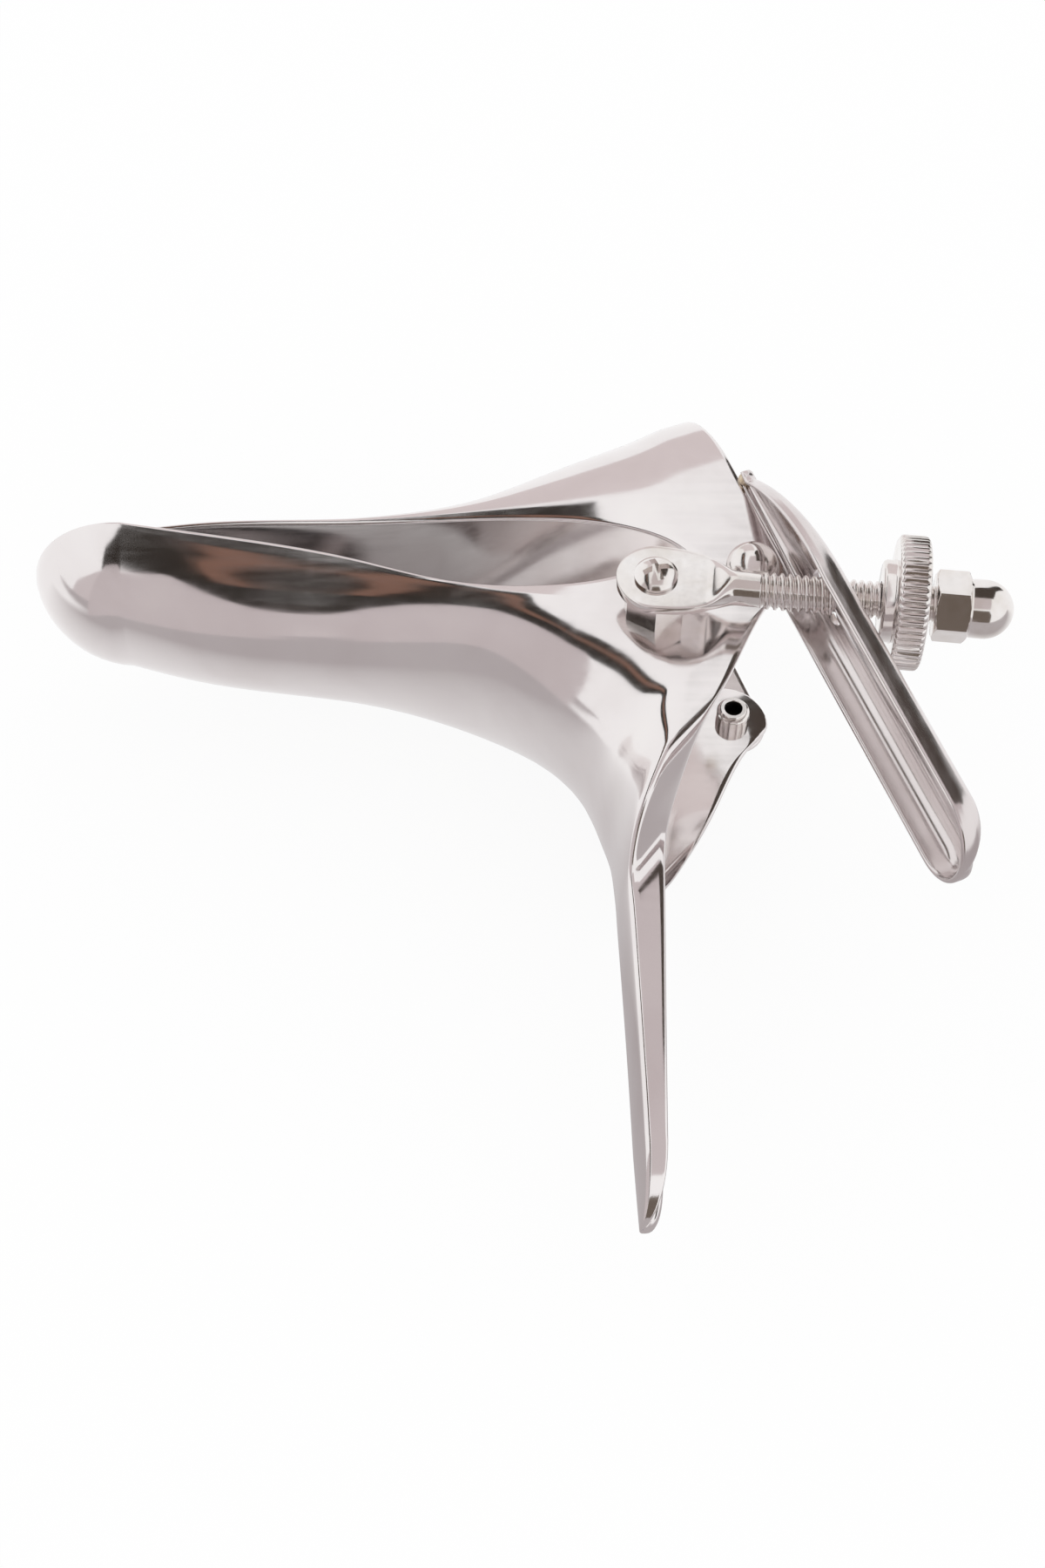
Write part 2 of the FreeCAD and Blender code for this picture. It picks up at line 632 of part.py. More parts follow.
def make_upper_valve():
    """The upper valve with its rivet holes and the edge where the lever is welded on."""
    valve = shaped("upper_sheet", upper_valve_sheet())
    rivet_hole = add("Part::Cylinder", "upper_rivet_hole", Radius="rivet_bore / 2 + rivet_fit",
                     Height=f"2 * {EAR_OUTSIDE} + 2", Placement__Base__z=f"-{EAR_OUTSIDE} - 1")
    seam = shaped("seam_block", lever_block(-size("lever_top") - size("weld_gap"), size("lever_corner") * 4,
                                            -size("lever_seam"), size("hinge_corner")))
    whole = cut("upper_valve", valve, rivet_hole, seam)
    stand(whole)
    return whole


def lever_block(along_start, along_end, across_start, across_end):
    """A block on the near ear, square with the lever, that reaches through the ear's sheet."""
    floor = size("hinge_half_width") + size("hinge_gap") / 2
    block = Part.makeBox(along_end - along_start, across_end - across_start, 2 * size("lever_sheet"))
    block.translate(FreeCAD.Vector(along_start, across_start, 0))
    block.Placement = FreeCAD.Placement(lever_point(0, 0, floor), ALONG_LEVER).multiply(block.Placement)
    return block


def make_thumb_lever():
    """The lever, trimmed to the ear along the weld seam, with its slot for the rod."""
    channel = shaped("lever_channel", lever_sheet())
    whole = cut("thumb_lever", channel, rod_slot())
    stand(whole)
    return whole


def rod_slot():
    """The slot that lets the rod swing in the back of the lever."""
    slope = math.radians(size("lever_slope"))
    tilt = math.radians(size("rod_tilt"))
    back = size("lever_back") - size("lever_sheet") / 2
    start = ((size("pivot_x") - size("hinge_corner")) * math.sin(slope) + size("pivot_y") * math.cos(slope))
    run = (back - start) / math.sin(slope - tilt)
    x = size("pivot_x") + run * math.cos(tilt) - size("hinge_corner")
    y = size("pivot_y") - run * math.sin(tilt)
    along = x * math.cos(slope) - y * math.sin(slope)
    length, width = size("slot_length"), size("slot_width")
    block = Part.makeBox(length - width, 4 * size("lever_sheet"), width)
    block.translate(FreeCAD.Vector(-(length - width) / 2, -2 * size("lever_sheet"), -width / 2))
    slot = block
    for side in (-1, 1):
        end = FreeCAD.Vector(side * (length - width) / 2, -2 * size("lever_sheet"), 0)
        slot = slot.fuse(Part.makeCylinder(width / 2, 4 * size("lever_sheet"), end, FreeCAD.Vector(0, 1, 0)))
    centre = lever_point(along, back, value_of(ROD_HEIGHT))
    slot.Placement = FreeCAD.Placement(centre, ALONG_LEVER)
    return shaped("rod_slot", slot)


def make_rivet(name, side_turn):
    """A hinge rivet: domed head outside, hollow end set over its washer inside."""
    washer_face = f"({FLANGE_INSIDE} - washer_thick)"
    tail = f"({washer_face} - rivet_tail_height)"
    head = f"({EAR_OUTSIDE} + hinge_gap)"
    rivet = turned(name, (
        ("0", f"{tail} + rivet_hole_depth"),
        ("rivet_hole / 2", f"{tail} + rivet_hole_depth"),
        ("rivet_hole / 2", tail),
        ("rivet_tail / 2", tail),
        ("rivet_tail / 2", washer_face),
        ("rivet_bore / 2", washer_face),
        ("rivet_bore / 2", head),
        ("rivet_head / 2", head),
        ("0", f"{head} + rivet_dome"),
    ), domes=(7,))
    stand(rivet, turn=side_turn)
    return rivet


def make_washer(name, side_turn):
    """The ring under the hollow end of a hinge rivet."""
    washer = turned(name, (
        ("rivet_bore / 2", f"{FLANGE_INSIDE} - washer_thick"),
        ("washer_outer / 2", f"{FLANGE_INSIDE} - washer_thick"),
        ("washer_outer / 2", FLANGE_INSIDE),
        ("rivet_bore / 2", FLANGE_INSIDE),
    ))
    stand(washer, turn=side_turn)
    return washer


def hexagon(name, flats, height, low, turn=0.0):
    """A hexagon whose upper corners are turned off."""
    prism = add("Part::Prism", f"{name}_hexagon", Circumradius=f"{flats} / sqrt(3)", Height=height,
                Placement__Base__z=low)
    prism.Polygon = 6
    prism.Placement = FreeCAD.Placement(prism.Placement.Base, FreeCAD.Rotation(FreeCAD.Vector(0, 0, 1), turn))
    bind(prism, Placement__Base__z=low)
    corners = add("Part::Cone", f"{name}_corners", Radius1=f"{flats} / 2 + 2 * {height}",
                  Radius2=f"{flats} / 2", Height=height, Placement__Base__z=low)
    common = doc.addObject("Part::Common", f"{name}_chamfered")
    common.Base = prism
    common.Tool = corners
    return common


def make_pivot_boss():
    """The hexagonal boss that carries the eye, peened into the lower flange."""
    hexagonal = hexagon("boss", "boss_flats", "boss_height", "hinge_half_width", turn=30.0)
    spigot = add("Part::Cylinder", "boss_spigot_pin", Radius="boss_spigot / 2",
                 Height="sheet_thick + spigot_proud + boss_height / 2",
                 Placement__Base__z=f"{FLANGE_INSIDE} - spigot_proud")
    joined = doc.addObject("Part::Fuse", "boss_solid")
    joined.Base = hexagonal
    joined.Tool = spigot
    bore = add("Part::Cylinder", "boss_bore", Radius="screw_shank / 2", Height="screw_depth + 1",
               Placement__Base__z=f"{BOSS_TOP} - screw_depth")
    boss = cut("pivot_boss", joined, bore)
    stand(boss, x="pivot_x", y="pivot_y")
    return boss


def make_pivot_screw():
    """The cross-headed screw that the eye turns on."""
    head = f"({BOSS_TOP} + eye_thick + 2 * pivot_gap)"
    blank = turned("screw_blank", (
        ("0", f"{BOSS_TOP} - screw_depth"),
        ("screw_shank / 2", f"{BOSS_TOP} - screw_depth"),
        ("screw_shank / 2", head),
        ("screw_head / 2", head),
        ("screw_head / 2", f"{head} + screw_head_height / 4"),
        ("0", f"{head} + screw_head_height"),
    ), domes=(4,))
    arms = []
    for name, turn in (("recess_arm_a", 18.0), ("recess_arm_b", 108.0)):
        arm = add("Part::Box", name, Length="recess_span", Width="recess_slot", Height="screw_head_height")
        rotation = FreeCAD.Rotation(FreeCAD.Vector(0, 0, 1), turn)
        arm.Placement = FreeCAD.Placement(FreeCAD.Vector(), rotation)
        back_x = f"recess_span / 2 * cos({turn} deg) - recess_slot / 2 * sin({turn} deg)"
        back_y = f"recess_span / 2 * sin({turn} deg) + recess_slot / 2 * cos({turn} deg)"
        bind(arm, Placement__Base__x=f"-({back_x})", Placement__Base__y=f"-({back_y})",
             Placement__Base__z=f"{head} + screw_head_height - recess_depth")
        arms.append(arm)
    screw = cut("pivot_screw", blank, *arms)
    stand(screw, x="pivot_x", y="pivot_y")
    return screw


def make_eye_rod():
    """The eye bolt: a flat eye that runs through a shoulder into the round, threaded rod."""
    body = doc.addObject("PartDesign::Body", "eye_rod")
    plate = sketch_on(body, "XY_Plane", "eye_outline")
    bind(plate, AttachmentOffset__Base__z="eye_rise - eye_thick / 2")
    radius = size("eye_radius")
    neck = FreeCAD.Vector(size("eye_neck"), size("shank_diameter") / 2, 0)
    lean = math.radians(62)
    touch = FreeCAD.Vector(radius * math.cos(lean), radius * math.sin(lean), 0)
    eye = Part.Circle(FreeCAD.Vector(), FreeCAD.Vector(0, 0, 1), radius)
    plate.addGeometry(Part.ArcOfCircle(eye, lean, 2 * math.pi - lean))
    plate.addGeometry(Part.LineSegment(FreeCAD.Vector(touch.x, -touch.y, 0), FreeCAD.Vector(neck.x, -neck.y, 0)))
    plate.addGeometry(Part.LineSegment(FreeCAD.Vector(neck.x, -neck.y, 0), neck))
    plate.addGeometry(Part.LineSegment(neck, touch))
    for i in range(1, 3):
        plate.addConstraint(Sketcher.Constraint("Coincident", i, END, i + 1, START))
    plate.addConstraint(Sketcher.Constraint("Coincident", 0, CENTRE, *ORIGIN))
    plate.addConstraint(Sketcher.Constraint("Tangent", 0, END, 1, START))
    plate.addConstraint(Sketcher.Constraint("Tangent", 3, END, 0, START))
    index = plate.addConstraint(Sketcher.Constraint("Radius", 0, radius))
    plate.renameConstraint(index, "eye_round")
    plate.setExpression("Constraints.eye_round", named("eye_radius"))
    hold_point(plate, 3, START, "eye_neck", "shank_diameter / 2")
    hold_point(plate, 2, START, "eye_neck", "-shank_diameter / 2")
    hole = plate.addGeometry(Part.Circle(FreeCAD.Vector(), FreeCAD.Vector(0, 0, 1), value_of("screw_shank / 2")))
    plate.addConstraint(Sketcher.Constraint("Coincident", hole, CENTRE, *ORIGIN))
    index = plate.addConstraint(Sketcher.Constraint("Radius", hole, value_of("screw_shank / 2 + pivot_fit")))
    plate.renameConstraint(index, "eye_hole")
    plate.setExpression("Constraints.eye_hole", named("screw_shank / 2 + pivot_fit"))
    pad = body.newObject("PartDesign::Pad", "eye_plate")
    pad.Profile = plate
    bind(pad, Length="eye_thick")
    rod = sketch_on(body, "XZ_Plane", "rod_outline")
    tip = "(cap_start + cap_thread_depth)"
    draw_outline(rod, (
        ("eye_neck - eye_shoulder", "0"),
        (tip, "0"),
        (tip, "thread_diameter / 2"),
        ("shank_end", "thread_diameter / 2"),
        ("shank_end", "shank_diameter / 2"),
        ("eye_neck", "shank_diameter / 2"),
        ("eye_neck - eye_shoulder", "eye_thick / 2"),
    ))
    turning = body.newObject("PartDesign::Revolution", "rod_turning")
    turning.Profile = rod
    turning.ReferenceAxis = (rod, ["H_Axis"])
    turning.Angle = 360
    stand(body, x="pivot_x", y="pivot_y", z=ROD_HEIGHT, turn=ALONG_ROD)
    return body


def make_thumb_nut():
    """The thumb nut: a plain hub and a wide rim."""
    bore = "(thread_diameter / 2 + nut_fit)"
    face = "(nut_start + nut_hub_length)"
    back = f"({face} + nut_width)"
    nut = turned("thumb_nut", (
        (bore, "nut_start"),
        ("nut_hub_diameter / 2", "nut_start"),
        ("nut_hub_diameter / 2", face),
        ("nut_diameter / 2 - nut_chamfer", face),
        ("nut_diameter / 2", f"{face} + nut_chamfer"),
        ("nut_diameter / 2", f"{back} - nut_chamfer"),
        ("nut_diameter / 2 - nut_chamfer", back),
        (bore, back),
    ))
    stand(nut, x="pivot_x", y="pivot_y", z=ROD_HEIGHT, turn=OUT_ON_ROD)
    return nut


def make_stop_nut():
    """The cap nut that closes the end of the rod."""
    hexagonal = hexagon("cap", "cap_flats", "cap_hex_length", "cap_start", turn=CAP_TURN)
    dome = turned("cap_dome_body", (
        ("0", "cap_start + cap_hex_length / 2"),
        ("cap_dome / 2", "cap_start + cap_hex_length / 2"),
        ("cap_dome / 2", "cap_start + cap_length - cap_dome / 2"),
        ("0", "cap_start + cap_length"),
    ), domes=(2,))
    joined = doc.addObject("Part::Fuse", "cap_solid")
    joined.Base = hexagonal
    joined.Tool = dome
    bore = add("Part::Cylinder", "cap_bore", Radius="thread_diameter / 2", Height="cap_thread_depth + 1",
               Placement__Base__z="cap_start - 1")
    cap = cut("stop_nut", joined, bore)
    stand(cap, x="pivot_x", y="pivot_y", z=ROD_HEIGHT, turn=OUT_ON_ROD)
    return cap


CAP_TURN = 19.0


def make_braze_bead(upper, lever):
    """The bead of braze where the top of the lever meets the hood mouth."""
    bead = doc.addObject("Part::Sphere", "bead_ball")
    bind(bead, Radius="bead_radius")
    height = size("hinge_half_width") + size("hinge_gap") + size("sheet_thick")
    bead.Placement = FreeCAD.Placement(lever_point(-size("lever_top"), 0.6, height), FreeCAD.Rotation())
    doc.recompute()
    rest = bead.Shape
    for piece in (upper, lever):
        shape = piece.Shape.copy()
        shape.translate(FreeCAD.Vector(-size("hinge_x"), -size("hinge_y"), -size("hinge_z")))
        rest = rest.cut(shape)
    largest = max(rest.Solids, key=lambda solid: solid.Volume)
    whole = shaped("braze_bead", largest)
    whole.Placement = FreeCAD.Placement(FreeCAD.Vector(size("hinge_x"), size("hinge_y"), size("hinge_z")),
                                        FreeCAD.Rotation())
    return whole


upper_valve = make_upper_valve()
thumb_lever = make_thumb_lever()
nodes = [
    make_lower_valve(),
    upper_valve,
    thumb_lever,
    make_rivet("hinge_rivet_near", FreeCAD.Rotation()),
    make_rivet("hinge_rivet_far", UPSIDE_DOWN),
    make_washer("hinge_washer_near", FreeCAD.Rotation()),
    make_washer("hinge_washer_far", UPSIDE_DOWN),
    make_pivot_boss(),
    make_pivot_screw(),
    make_eye_rod(),
    make_thumb_nut(),
    make_stop_nut(),
]
doc.recompute()
nodes.append(make_braze_bead(upper_valve, thumb_lever))
doc.recompute()

for item in doc.Objects:
    if "Invalid" in item.State or "Error" in item.State:
        raise RuntimeError(f"{item.Name} failed: {item.State}")

os.makedirs("parts", exist_ok=True)
for node in nodes:
    if node.Shape.isNull() or not node.Shape.isValid():
        raise RuntimeError(f"{node.Label} has no valid shape")
for node in nodes:
    node.Shape.exportStep(f"parts/{node.Label}.step")
    print(node.Label, len(node.Shape.Solids), round(node.Shape.Volume, 1), node.Shape.BoundBox)
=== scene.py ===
"""Bivalve speculum: its pressed sheets, threaded rod and nuts, their metals, and a plain studio.

Blender's units are metres. The shape code counts in millimetres, about the hinge axis or along the rod, and turns
them into metres where a mesh is made.
"""

import math

import bmesh
import bpy
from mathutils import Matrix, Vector


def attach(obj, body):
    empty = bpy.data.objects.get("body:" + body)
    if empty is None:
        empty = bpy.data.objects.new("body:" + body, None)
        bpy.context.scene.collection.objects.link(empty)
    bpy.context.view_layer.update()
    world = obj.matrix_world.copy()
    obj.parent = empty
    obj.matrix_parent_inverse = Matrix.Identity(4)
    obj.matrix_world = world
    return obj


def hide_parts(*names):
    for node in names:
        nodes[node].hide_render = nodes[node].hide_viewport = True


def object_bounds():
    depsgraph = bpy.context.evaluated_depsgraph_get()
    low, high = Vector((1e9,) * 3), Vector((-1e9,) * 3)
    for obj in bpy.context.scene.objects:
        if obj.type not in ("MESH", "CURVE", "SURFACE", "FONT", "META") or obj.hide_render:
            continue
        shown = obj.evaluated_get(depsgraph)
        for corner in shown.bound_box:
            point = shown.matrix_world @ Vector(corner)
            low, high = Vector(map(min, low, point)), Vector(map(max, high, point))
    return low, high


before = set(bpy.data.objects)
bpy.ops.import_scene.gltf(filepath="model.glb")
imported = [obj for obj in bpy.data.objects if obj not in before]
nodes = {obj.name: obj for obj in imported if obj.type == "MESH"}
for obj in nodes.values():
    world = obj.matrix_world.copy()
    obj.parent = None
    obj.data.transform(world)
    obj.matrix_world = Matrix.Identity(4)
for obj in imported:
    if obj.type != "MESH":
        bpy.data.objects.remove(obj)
cad_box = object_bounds()
scene = bpy.context.scene
MM = 0.001


# ---------------------------------------------------------------- material helpers

GRAIN_SCALE = 900.0
HAIRLINE_SCALE = 2700.0
SMEAR_SCALE = 130.0
DENT_SCALE = 70.0
DENT_WEIGHT = 6.0
BUMP_STRENGTH = 0.4
EVEN = (1, 1, 1)
ALONG_X = (0.05, 1, 1)
ALONG_Y = (1, 0.05, 1)


def link(tree, source, target):
    tree.links.new(source, target)


def add_node(tree, kind, **settings):
    made = tree.nodes.new(kind)
    for name, number in settings.items():
        setattr(made, name, number)
    return made


def noise(tree, where, scale, stretch=EVEN, detail=4.0, turn=(0, 0, 0), distortion=0.0):
    """Noise in object space, stretched by the three factors; returns its Fac socket."""
    mapping = add_node(tree, "ShaderNodeMapping")
    mapping.inputs["Scale"].default_value = stretch
    mapping.inputs["Rotation"].default_value = turn
    link(tree, where, mapping.inputs["Vector"])
    made = add_node(tree, "ShaderNodeTexNoise")
    made.inputs["Scale"].default_value = scale
    made.inputs["Detail"].default_value = detail
    made.inputs["Distortion"].default_value = distortion
    link(tree, mapping.outputs["Vector"], made.inputs["Vector"])
    return made.outputs["Fac"]


def spread(tree, fac, low, high, start=0.3, end=0.7):
    """Maps a value that runs from start to end onto low to high."""
    made = add_node(tree, "ShaderNodeMapRange")
    made.inputs["From Min"].default_value = start
    made.inputs["From Max"].default_value = end
    made.inputs["To Min"].default_value = low
    made.inputs["To Max"].default_value = high
    link(tree, fac, made.inputs["Value"])
    return made.outputs["Result"]


def joined(tree, operation, one, two):
    """A Math node on a socket and either a second socket or a number."""
    made = add_node(tree, "ShaderNodeMath", operation=operation)
    link(tree, one, made.inputs[0])
    if isinstance(two, float):
        made.inputs[1].default_value = two
    else:
        link(tree, two, made.inputs[1])
    return made.outputs["Value"]


def ramp(tree, fac, stops):
    """A colour ramp with a colour at each place."""
    made = add_node(tree, "ShaderNodeValToRGB")
    while len(made.color_ramp.elements) < len(stops):
        made.color_ramp.elements.new(0.5)
    for element, (place, colour) in zip(made.color_ramp.elements, stops):
        element.position = place
        element.color = (*colour, 1.0)
    link(tree, fac, made.inputs["Fac"])
    return made.outputs["Color"]


def metal(name, colours, rough, brush=EVEN, turn=(0, 0, 0), depth=2e-6, patch=60.0, painted_shade=None):
    """A polished metal: tinted in broad soft patches and brushed finely along one way, with smears and hairlines.

    The last argument, where it is given, paints shade along X by darkening the metal: the value at the start, the
    value at the end, and the two places in metres.
    """
    material = bpy.data.materials.new(name)
    material.use_nodes = True
    tree = material.node_tree
    tree.nodes.clear()
    where = add_node(tree, "ShaderNodeTexCoord").outputs["Object"]
    shader = add_node(tree, "ShaderNodeBsdfPrincipled")
    shader.inputs["Metallic"].default_value = 1.0
    patches = noise(tree, where, patch, detail=3.0, distortion=0.4)
    tint = ramp(tree, patches, [(0.3, colours[0]), (0.5, colours[1]), (0.7, colours[2])])
    # Painted shade: the tint is darkened along X.
    if painted_shade:
        along = add_node(tree, "ShaderNodeSeparateXYZ")
        link(tree, where, along.inputs["Vector"])
        painted_tone = add_node(tree, "ShaderNodeHueSaturation")
        link(tree, spread(tree, along.outputs["X"], *painted_shade), painted_tone.inputs["Value"])
        link(tree, tint, painted_tone.inputs["Color"])
        tint = painted_tone.outputs["Color"]
    link(tree, tint, shader.inputs["Base Color"])
    grain = noise(tree, where, GRAIN_SCALE, brush, 5.0, turn)
    smears = noise(tree, where, SMEAR_SCALE, distortion=0.8)
    low, high = rough[0] * 0.5, rough[1] * 0.5
    link(tree, joined(tree, "ADD", spread(tree, grain, low, high), spread(tree, smears, low, high)),
         shader.inputs["Roughness"])
    hairlines = noise(tree, where, HAIRLINE_SCALE, brush, 2.0, turn)
    dents = joined(tree, "MULTIPLY", noise(tree, where, DENT_SCALE, detail=2.0), DENT_WEIGHT)
    bump = add_node(tree, "ShaderNodeBump")
    bump.inputs["Strength"].default_value = BUMP_STRENGTH
    bump.inputs["Distance"].default_value = depth
    link(tree, joined(tree, "ADD", joined(tree, "ADD", grain, hairlines), dents), bump.inputs["Height"])
    link(tree, bump.outputs["Normal"], shader.inputs["Normal"])
    end = add_node(tree, "ShaderNodeOutputMaterial")
    link(tree, shader.outputs["BSDF"], end.inputs["Surface"])
    return material


STEEL_TINTS = ((0.80, 0.755, 0.75), (0.84, 0.80, 0.797), (0.865, 0.83, 0.82))
# A darker, warmer copy of the valve steel for the upper valve's inside: painted shade in the gutter.
SHADED_INSIDE_TINTS = ((0.72, 0.64, 0.63), (0.78, 0.71, 0.70), (0.82, 0.76, 0.75))
LEVER_TINTS = ((0.70, 0.645, 0.64), (0.75, 0.70, 0.695), (0.80, 0.755, 0.75))
NICKEL_TINTS = ((0.77, 0.725, 0.69), (0.83, 0.79, 0.77), (0.87, 0.84, 0.83))
BRAZE_TINTS = ((0.55, 0.43, 0.30), (0.66, 0.56, 0.42), (0.78, 0.70, 0.58))
# Near-black tints for the rivets' hollow ends: painted shade in the recess.
BORE_SHADE_TINTS = ((0.05, 0.045, 0.04), (0.09, 0.08, 0.07), (0.14, 0.12, 0.1))

valve_steel = metal("valve_steel", STEEL_TINTS, (0.07, 0.16), ALONG_X, depth=3e-6)
# Painted shade inside the upper valve: darker along the blade, full brightness at the hood.
shaded_inside_steel = metal("shaded_inside_steel", SHADED_INSIDE_TINTS, (0.12, 0.25), ALONG_X, depth=4e-6, painted_shade=(0.42, 1.0, -0.01, 0.03))
lever_steel = metal("lever_steel", LEVER_TINTS, (0.13, 0.26), ALONG_Y, (0, 0, -0.36), depth=4e-6)
nickel = metal("nickel", NICKEL_TINTS, (0.08, 0.2), depth=3e-6, patch=220.0)
braze = metal("braze_metal", BRAZE_TINTS, (0.22, 0.4), depth=2e-5, patch=600.0)
shaded_bore = metal("shaded_bore", BORE_SHADE_TINTS, (0.4, 0.6))


# ---------------------------------------------------------------- mesh helpers

HINGE = Vector((40.9, 30.0, 25.2))
PIVOT = Vector((24.75, 23.0, 53.25)) * MM
TILT = math.radians(6.2)
WAY = Vector((math.cos(TILT), -math.sin(TILT), 0))
SIDE = Vector((math.sin(TILT), math.cos(TILT), 0))
UP = Vector((0, 0, 1))
QUARTER = math.pi / 2


def on_rod(along, radius, angle):
    """A point given in millimetres along and out from the rod's axis."""
    out = SIDE * math.cos(angle) + UP * math.sin(angle)
    return PIVOT + WAY * (along * MM) + out * (radius * MM)


def share_of(value, start, length):
    """How far value is along a length from start, from 0 to 1."""
    return min(max((value - start) / length, 0), 1)


def eased(share):
    """A share from 0 to 1 that starts and ends level."""
    return share * share * (3 - 2 * share)


def natural_cubic(knots, values):
    """The natural cubic spline through values at knots, as a function."""
    last = len(knots) - 1
    bends = [0.0] * (last + 1)
    factors = [0.0] * (last + 1)
    loads = [0.0] * (last + 1)
    for i in range(1, last):
        before = knots[i] - knots[i - 1]
        after = knots[i + 1] - knots[i]
        slope_change = (values[i + 1] - values[i]) / after - (values[i] - values[i - 1]) / before
        pivot = 2 * (before + after) - before * factors[i - 1]
        factors[i] = after / pivot
        loads[i] = (6 * slope_change - before * loads[i - 1]) / pivot
    for i in range(last - 1, 0, -1):
        bends[i] = loads[i] - factors[i] * bends[i + 1]

    def value(knot):
        i = 0
        while i < last - 1 and knot > knots[i + 1]:
            i += 1
        span = knots[i + 1] - knots[i]
        a = (knots[i + 1] - knot) / span
        b = 1 - a
        curve = ((a**3 - a) * bends[i] + (b**3 - b) * bends[i + 1]) * span * span / 6
        return a * values[i] + b * values[i + 1] + curve

    return value


def place_piece(name, mesh, materials, body, replaced):
    """Puts a smooth mesh in the scene, on its body and in place of CAD nodes."""
    mesh.shade_smooth()
    for material in materials:
        mesh.materials.append(material)
    piece = bpy.data.objects.new(name, mesh)
    scene.collection.objects.link(piece)
    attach(piece, body)
    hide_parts(*replaced)
    return piece


def turned_piece(name, points, faces, body, *replaced, crease=None):
    """A nickel piece from its points and faces, with a sharp edge wherever it turns by more than crease degrees."""
    mesh = bpy.data.meshes.new(name)
    mesh.from_pydata([tuple(point) for point in points], [], faces)
    mesh.validate()
    piece = place_piece(name, mesh, [nickel], body, replaced)
    if crease:
        piece.data.set_sharp_from_angle(angle=math.radians(crease))
    return piece


def grid_faces(rows, columns, shift=0):
    """Quads of a tube of rows, whose seam joins each row to the one that is shift rows on."""
    faces = []
    for i in range(rows - 1):
        for j in range(columns):
            if j < columns - 1:
                near, far = (i, j + 1), (i + 1, j + 1)
            else:
                near, far = (i + shift, 0), (i + 1 + shift, 0)
            if far[0] < rows:
                corners = ((i, j), near, far, (i + 1, j))
                faces.append([row * columns + column for row, column in corners])
    return faces


def closed_faces(rows, columns):
    """Quads of a tube of rows, with a flat face over each end."""
    faces = grid_faces(rows, columns)
    faces.append(list(range(columns))[::-1])
    faces.append([(rows - 1) * columns + i for i in range(columns)])
    return faces


# ---------------------------------------------------------------- threaded rod

THREAD_PITCH = 1.25
THREAD_CREST = 2.97
THREAD_ROOT = 2.42
CREST_FLAT = 1.25
THREAD_START = 16.5
THREAD_END = 52.2
LEAD_LENGTH = 0.6
LEAD_RADIUS = 2.72
TURN_STEPS = 40
PITCH_STEPS = 10


def thread_radius(place):
    """Radius of the thread at a share of its pitch: a rounded root and a narrow flat crest."""
    share = 1 - abs(2 * (place % 1.0) - 1)
    return THREAD_ROOT + (THREAD_CREST - THREAD_ROOT) * eased(min(1.0, share * CREST_FLAT))


def make_thread():
    """A helical thread that grows out of the plain shank."""
    rows = int((THREAD_END - THREAD_START) / THREAD_PITCH * PITCH_STEPS)
    points = []
    for i in range(rows):
        for j in range(TURN_STEPS):
            turn = j / TURN_STEPS
            along = THREAD_START + (i / PITCH_STEPS + turn - 1) * THREAD_PITCH
            radius = thread_radius(i / PITCH_STEPS)
            if radius > LEAD_RADIUS:
                radius = LEAD_RADIUS + (radius - LEAD_RADIUS) * share_of(along, THREAD_START, LEAD_LENGTH)
            along = min(max(along, THREAD_START), THREAD_END)
            points.append(on_rod(along, radius, 2 * math.pi * turn))
    turned_piece("rod_thread", points, grid_faces(rows, TURN_STEPS, PITCH_STEPS), "rod", "eye_rod")


# ---------------------------------------------------------------- knurled nut

KNURLS = 54
KNURL_STEPS = 8
KNURL_DEPTH = 0.42
KNURL_WIDTH = 0.62
# Radius, place along the rod, and share of the knurl's depth.
NUT_OUTLINE = (
    (3.03, 35.35, 0), (5.9, 35.35, 0), (6.3, 35.5, 0), (6.5, 35.9, 0), (6.5, 37.1, 0), (6.7, 37.35, 0),
    (9.5, 37.35, 0), (9.9, 37.38, 0), (10.25, 37.6, 0.25), (10.5, 37.85, 0.8), (10.6, 38.2, 1),
    (10.6, 39.8, 1), (10.6, 41.4, 1), (10.52, 41.75, 0.7), (10.3, 42.02, 0.15), (9.95, 42.2, 0),
    (9.6, 42.25, 0), (6.0, 42.25, 0), (3.03, 42.25, 0),
)


def knurl_groove(place):
    """Depth of the knurl at a share of one groove's spacing, 0 on the ridge."""
    away = abs(2 * (place % 1.0) - 1)
    return KNURL_DEPTH * max(0.0, 1 - away / KNURL_WIDTH) ** 0.8


def make_nut():
    columns = KNURLS * KNURL_STEPS
    points = []
    for radius, along, knurled in NUT_OUTLINE:
        for j in range(columns):
            depth = knurled * knurl_groove(j / KNURL_STEPS)
            points.append(on_rod(along, radius - depth, 2 * math.pi * j / columns))
    rows = len(NUT_OUTLINE)
    faces = grid_faces(rows, columns)
    for j in range(columns):
        after = (j + 1) % columns
        faces.append([(rows - 1) * columns + j, (rows - 1) * columns + after, after, j])
    turned_piece("thumb_nut_knurled", points, faces, "nut", "thumb_nut", crease=50)


# ---------------------------------------------------------------- pressed sheets

SHEET = 1.0
RIM_DROP = 0.45
RIM_STEPS = 6
CAP_RINGS = 14
WALL_STEPS = 6
BEND_STEPS = 14
GUTTER_COLUMNS = 2 * (WALL_STEPS + BEND_STEPS) + 1
STATION_STEP = 0.0075
MOST_BEND = 0.98
LEAST_ACROSS = 0.7
EDGE_TURNS = (35, 65, 90)

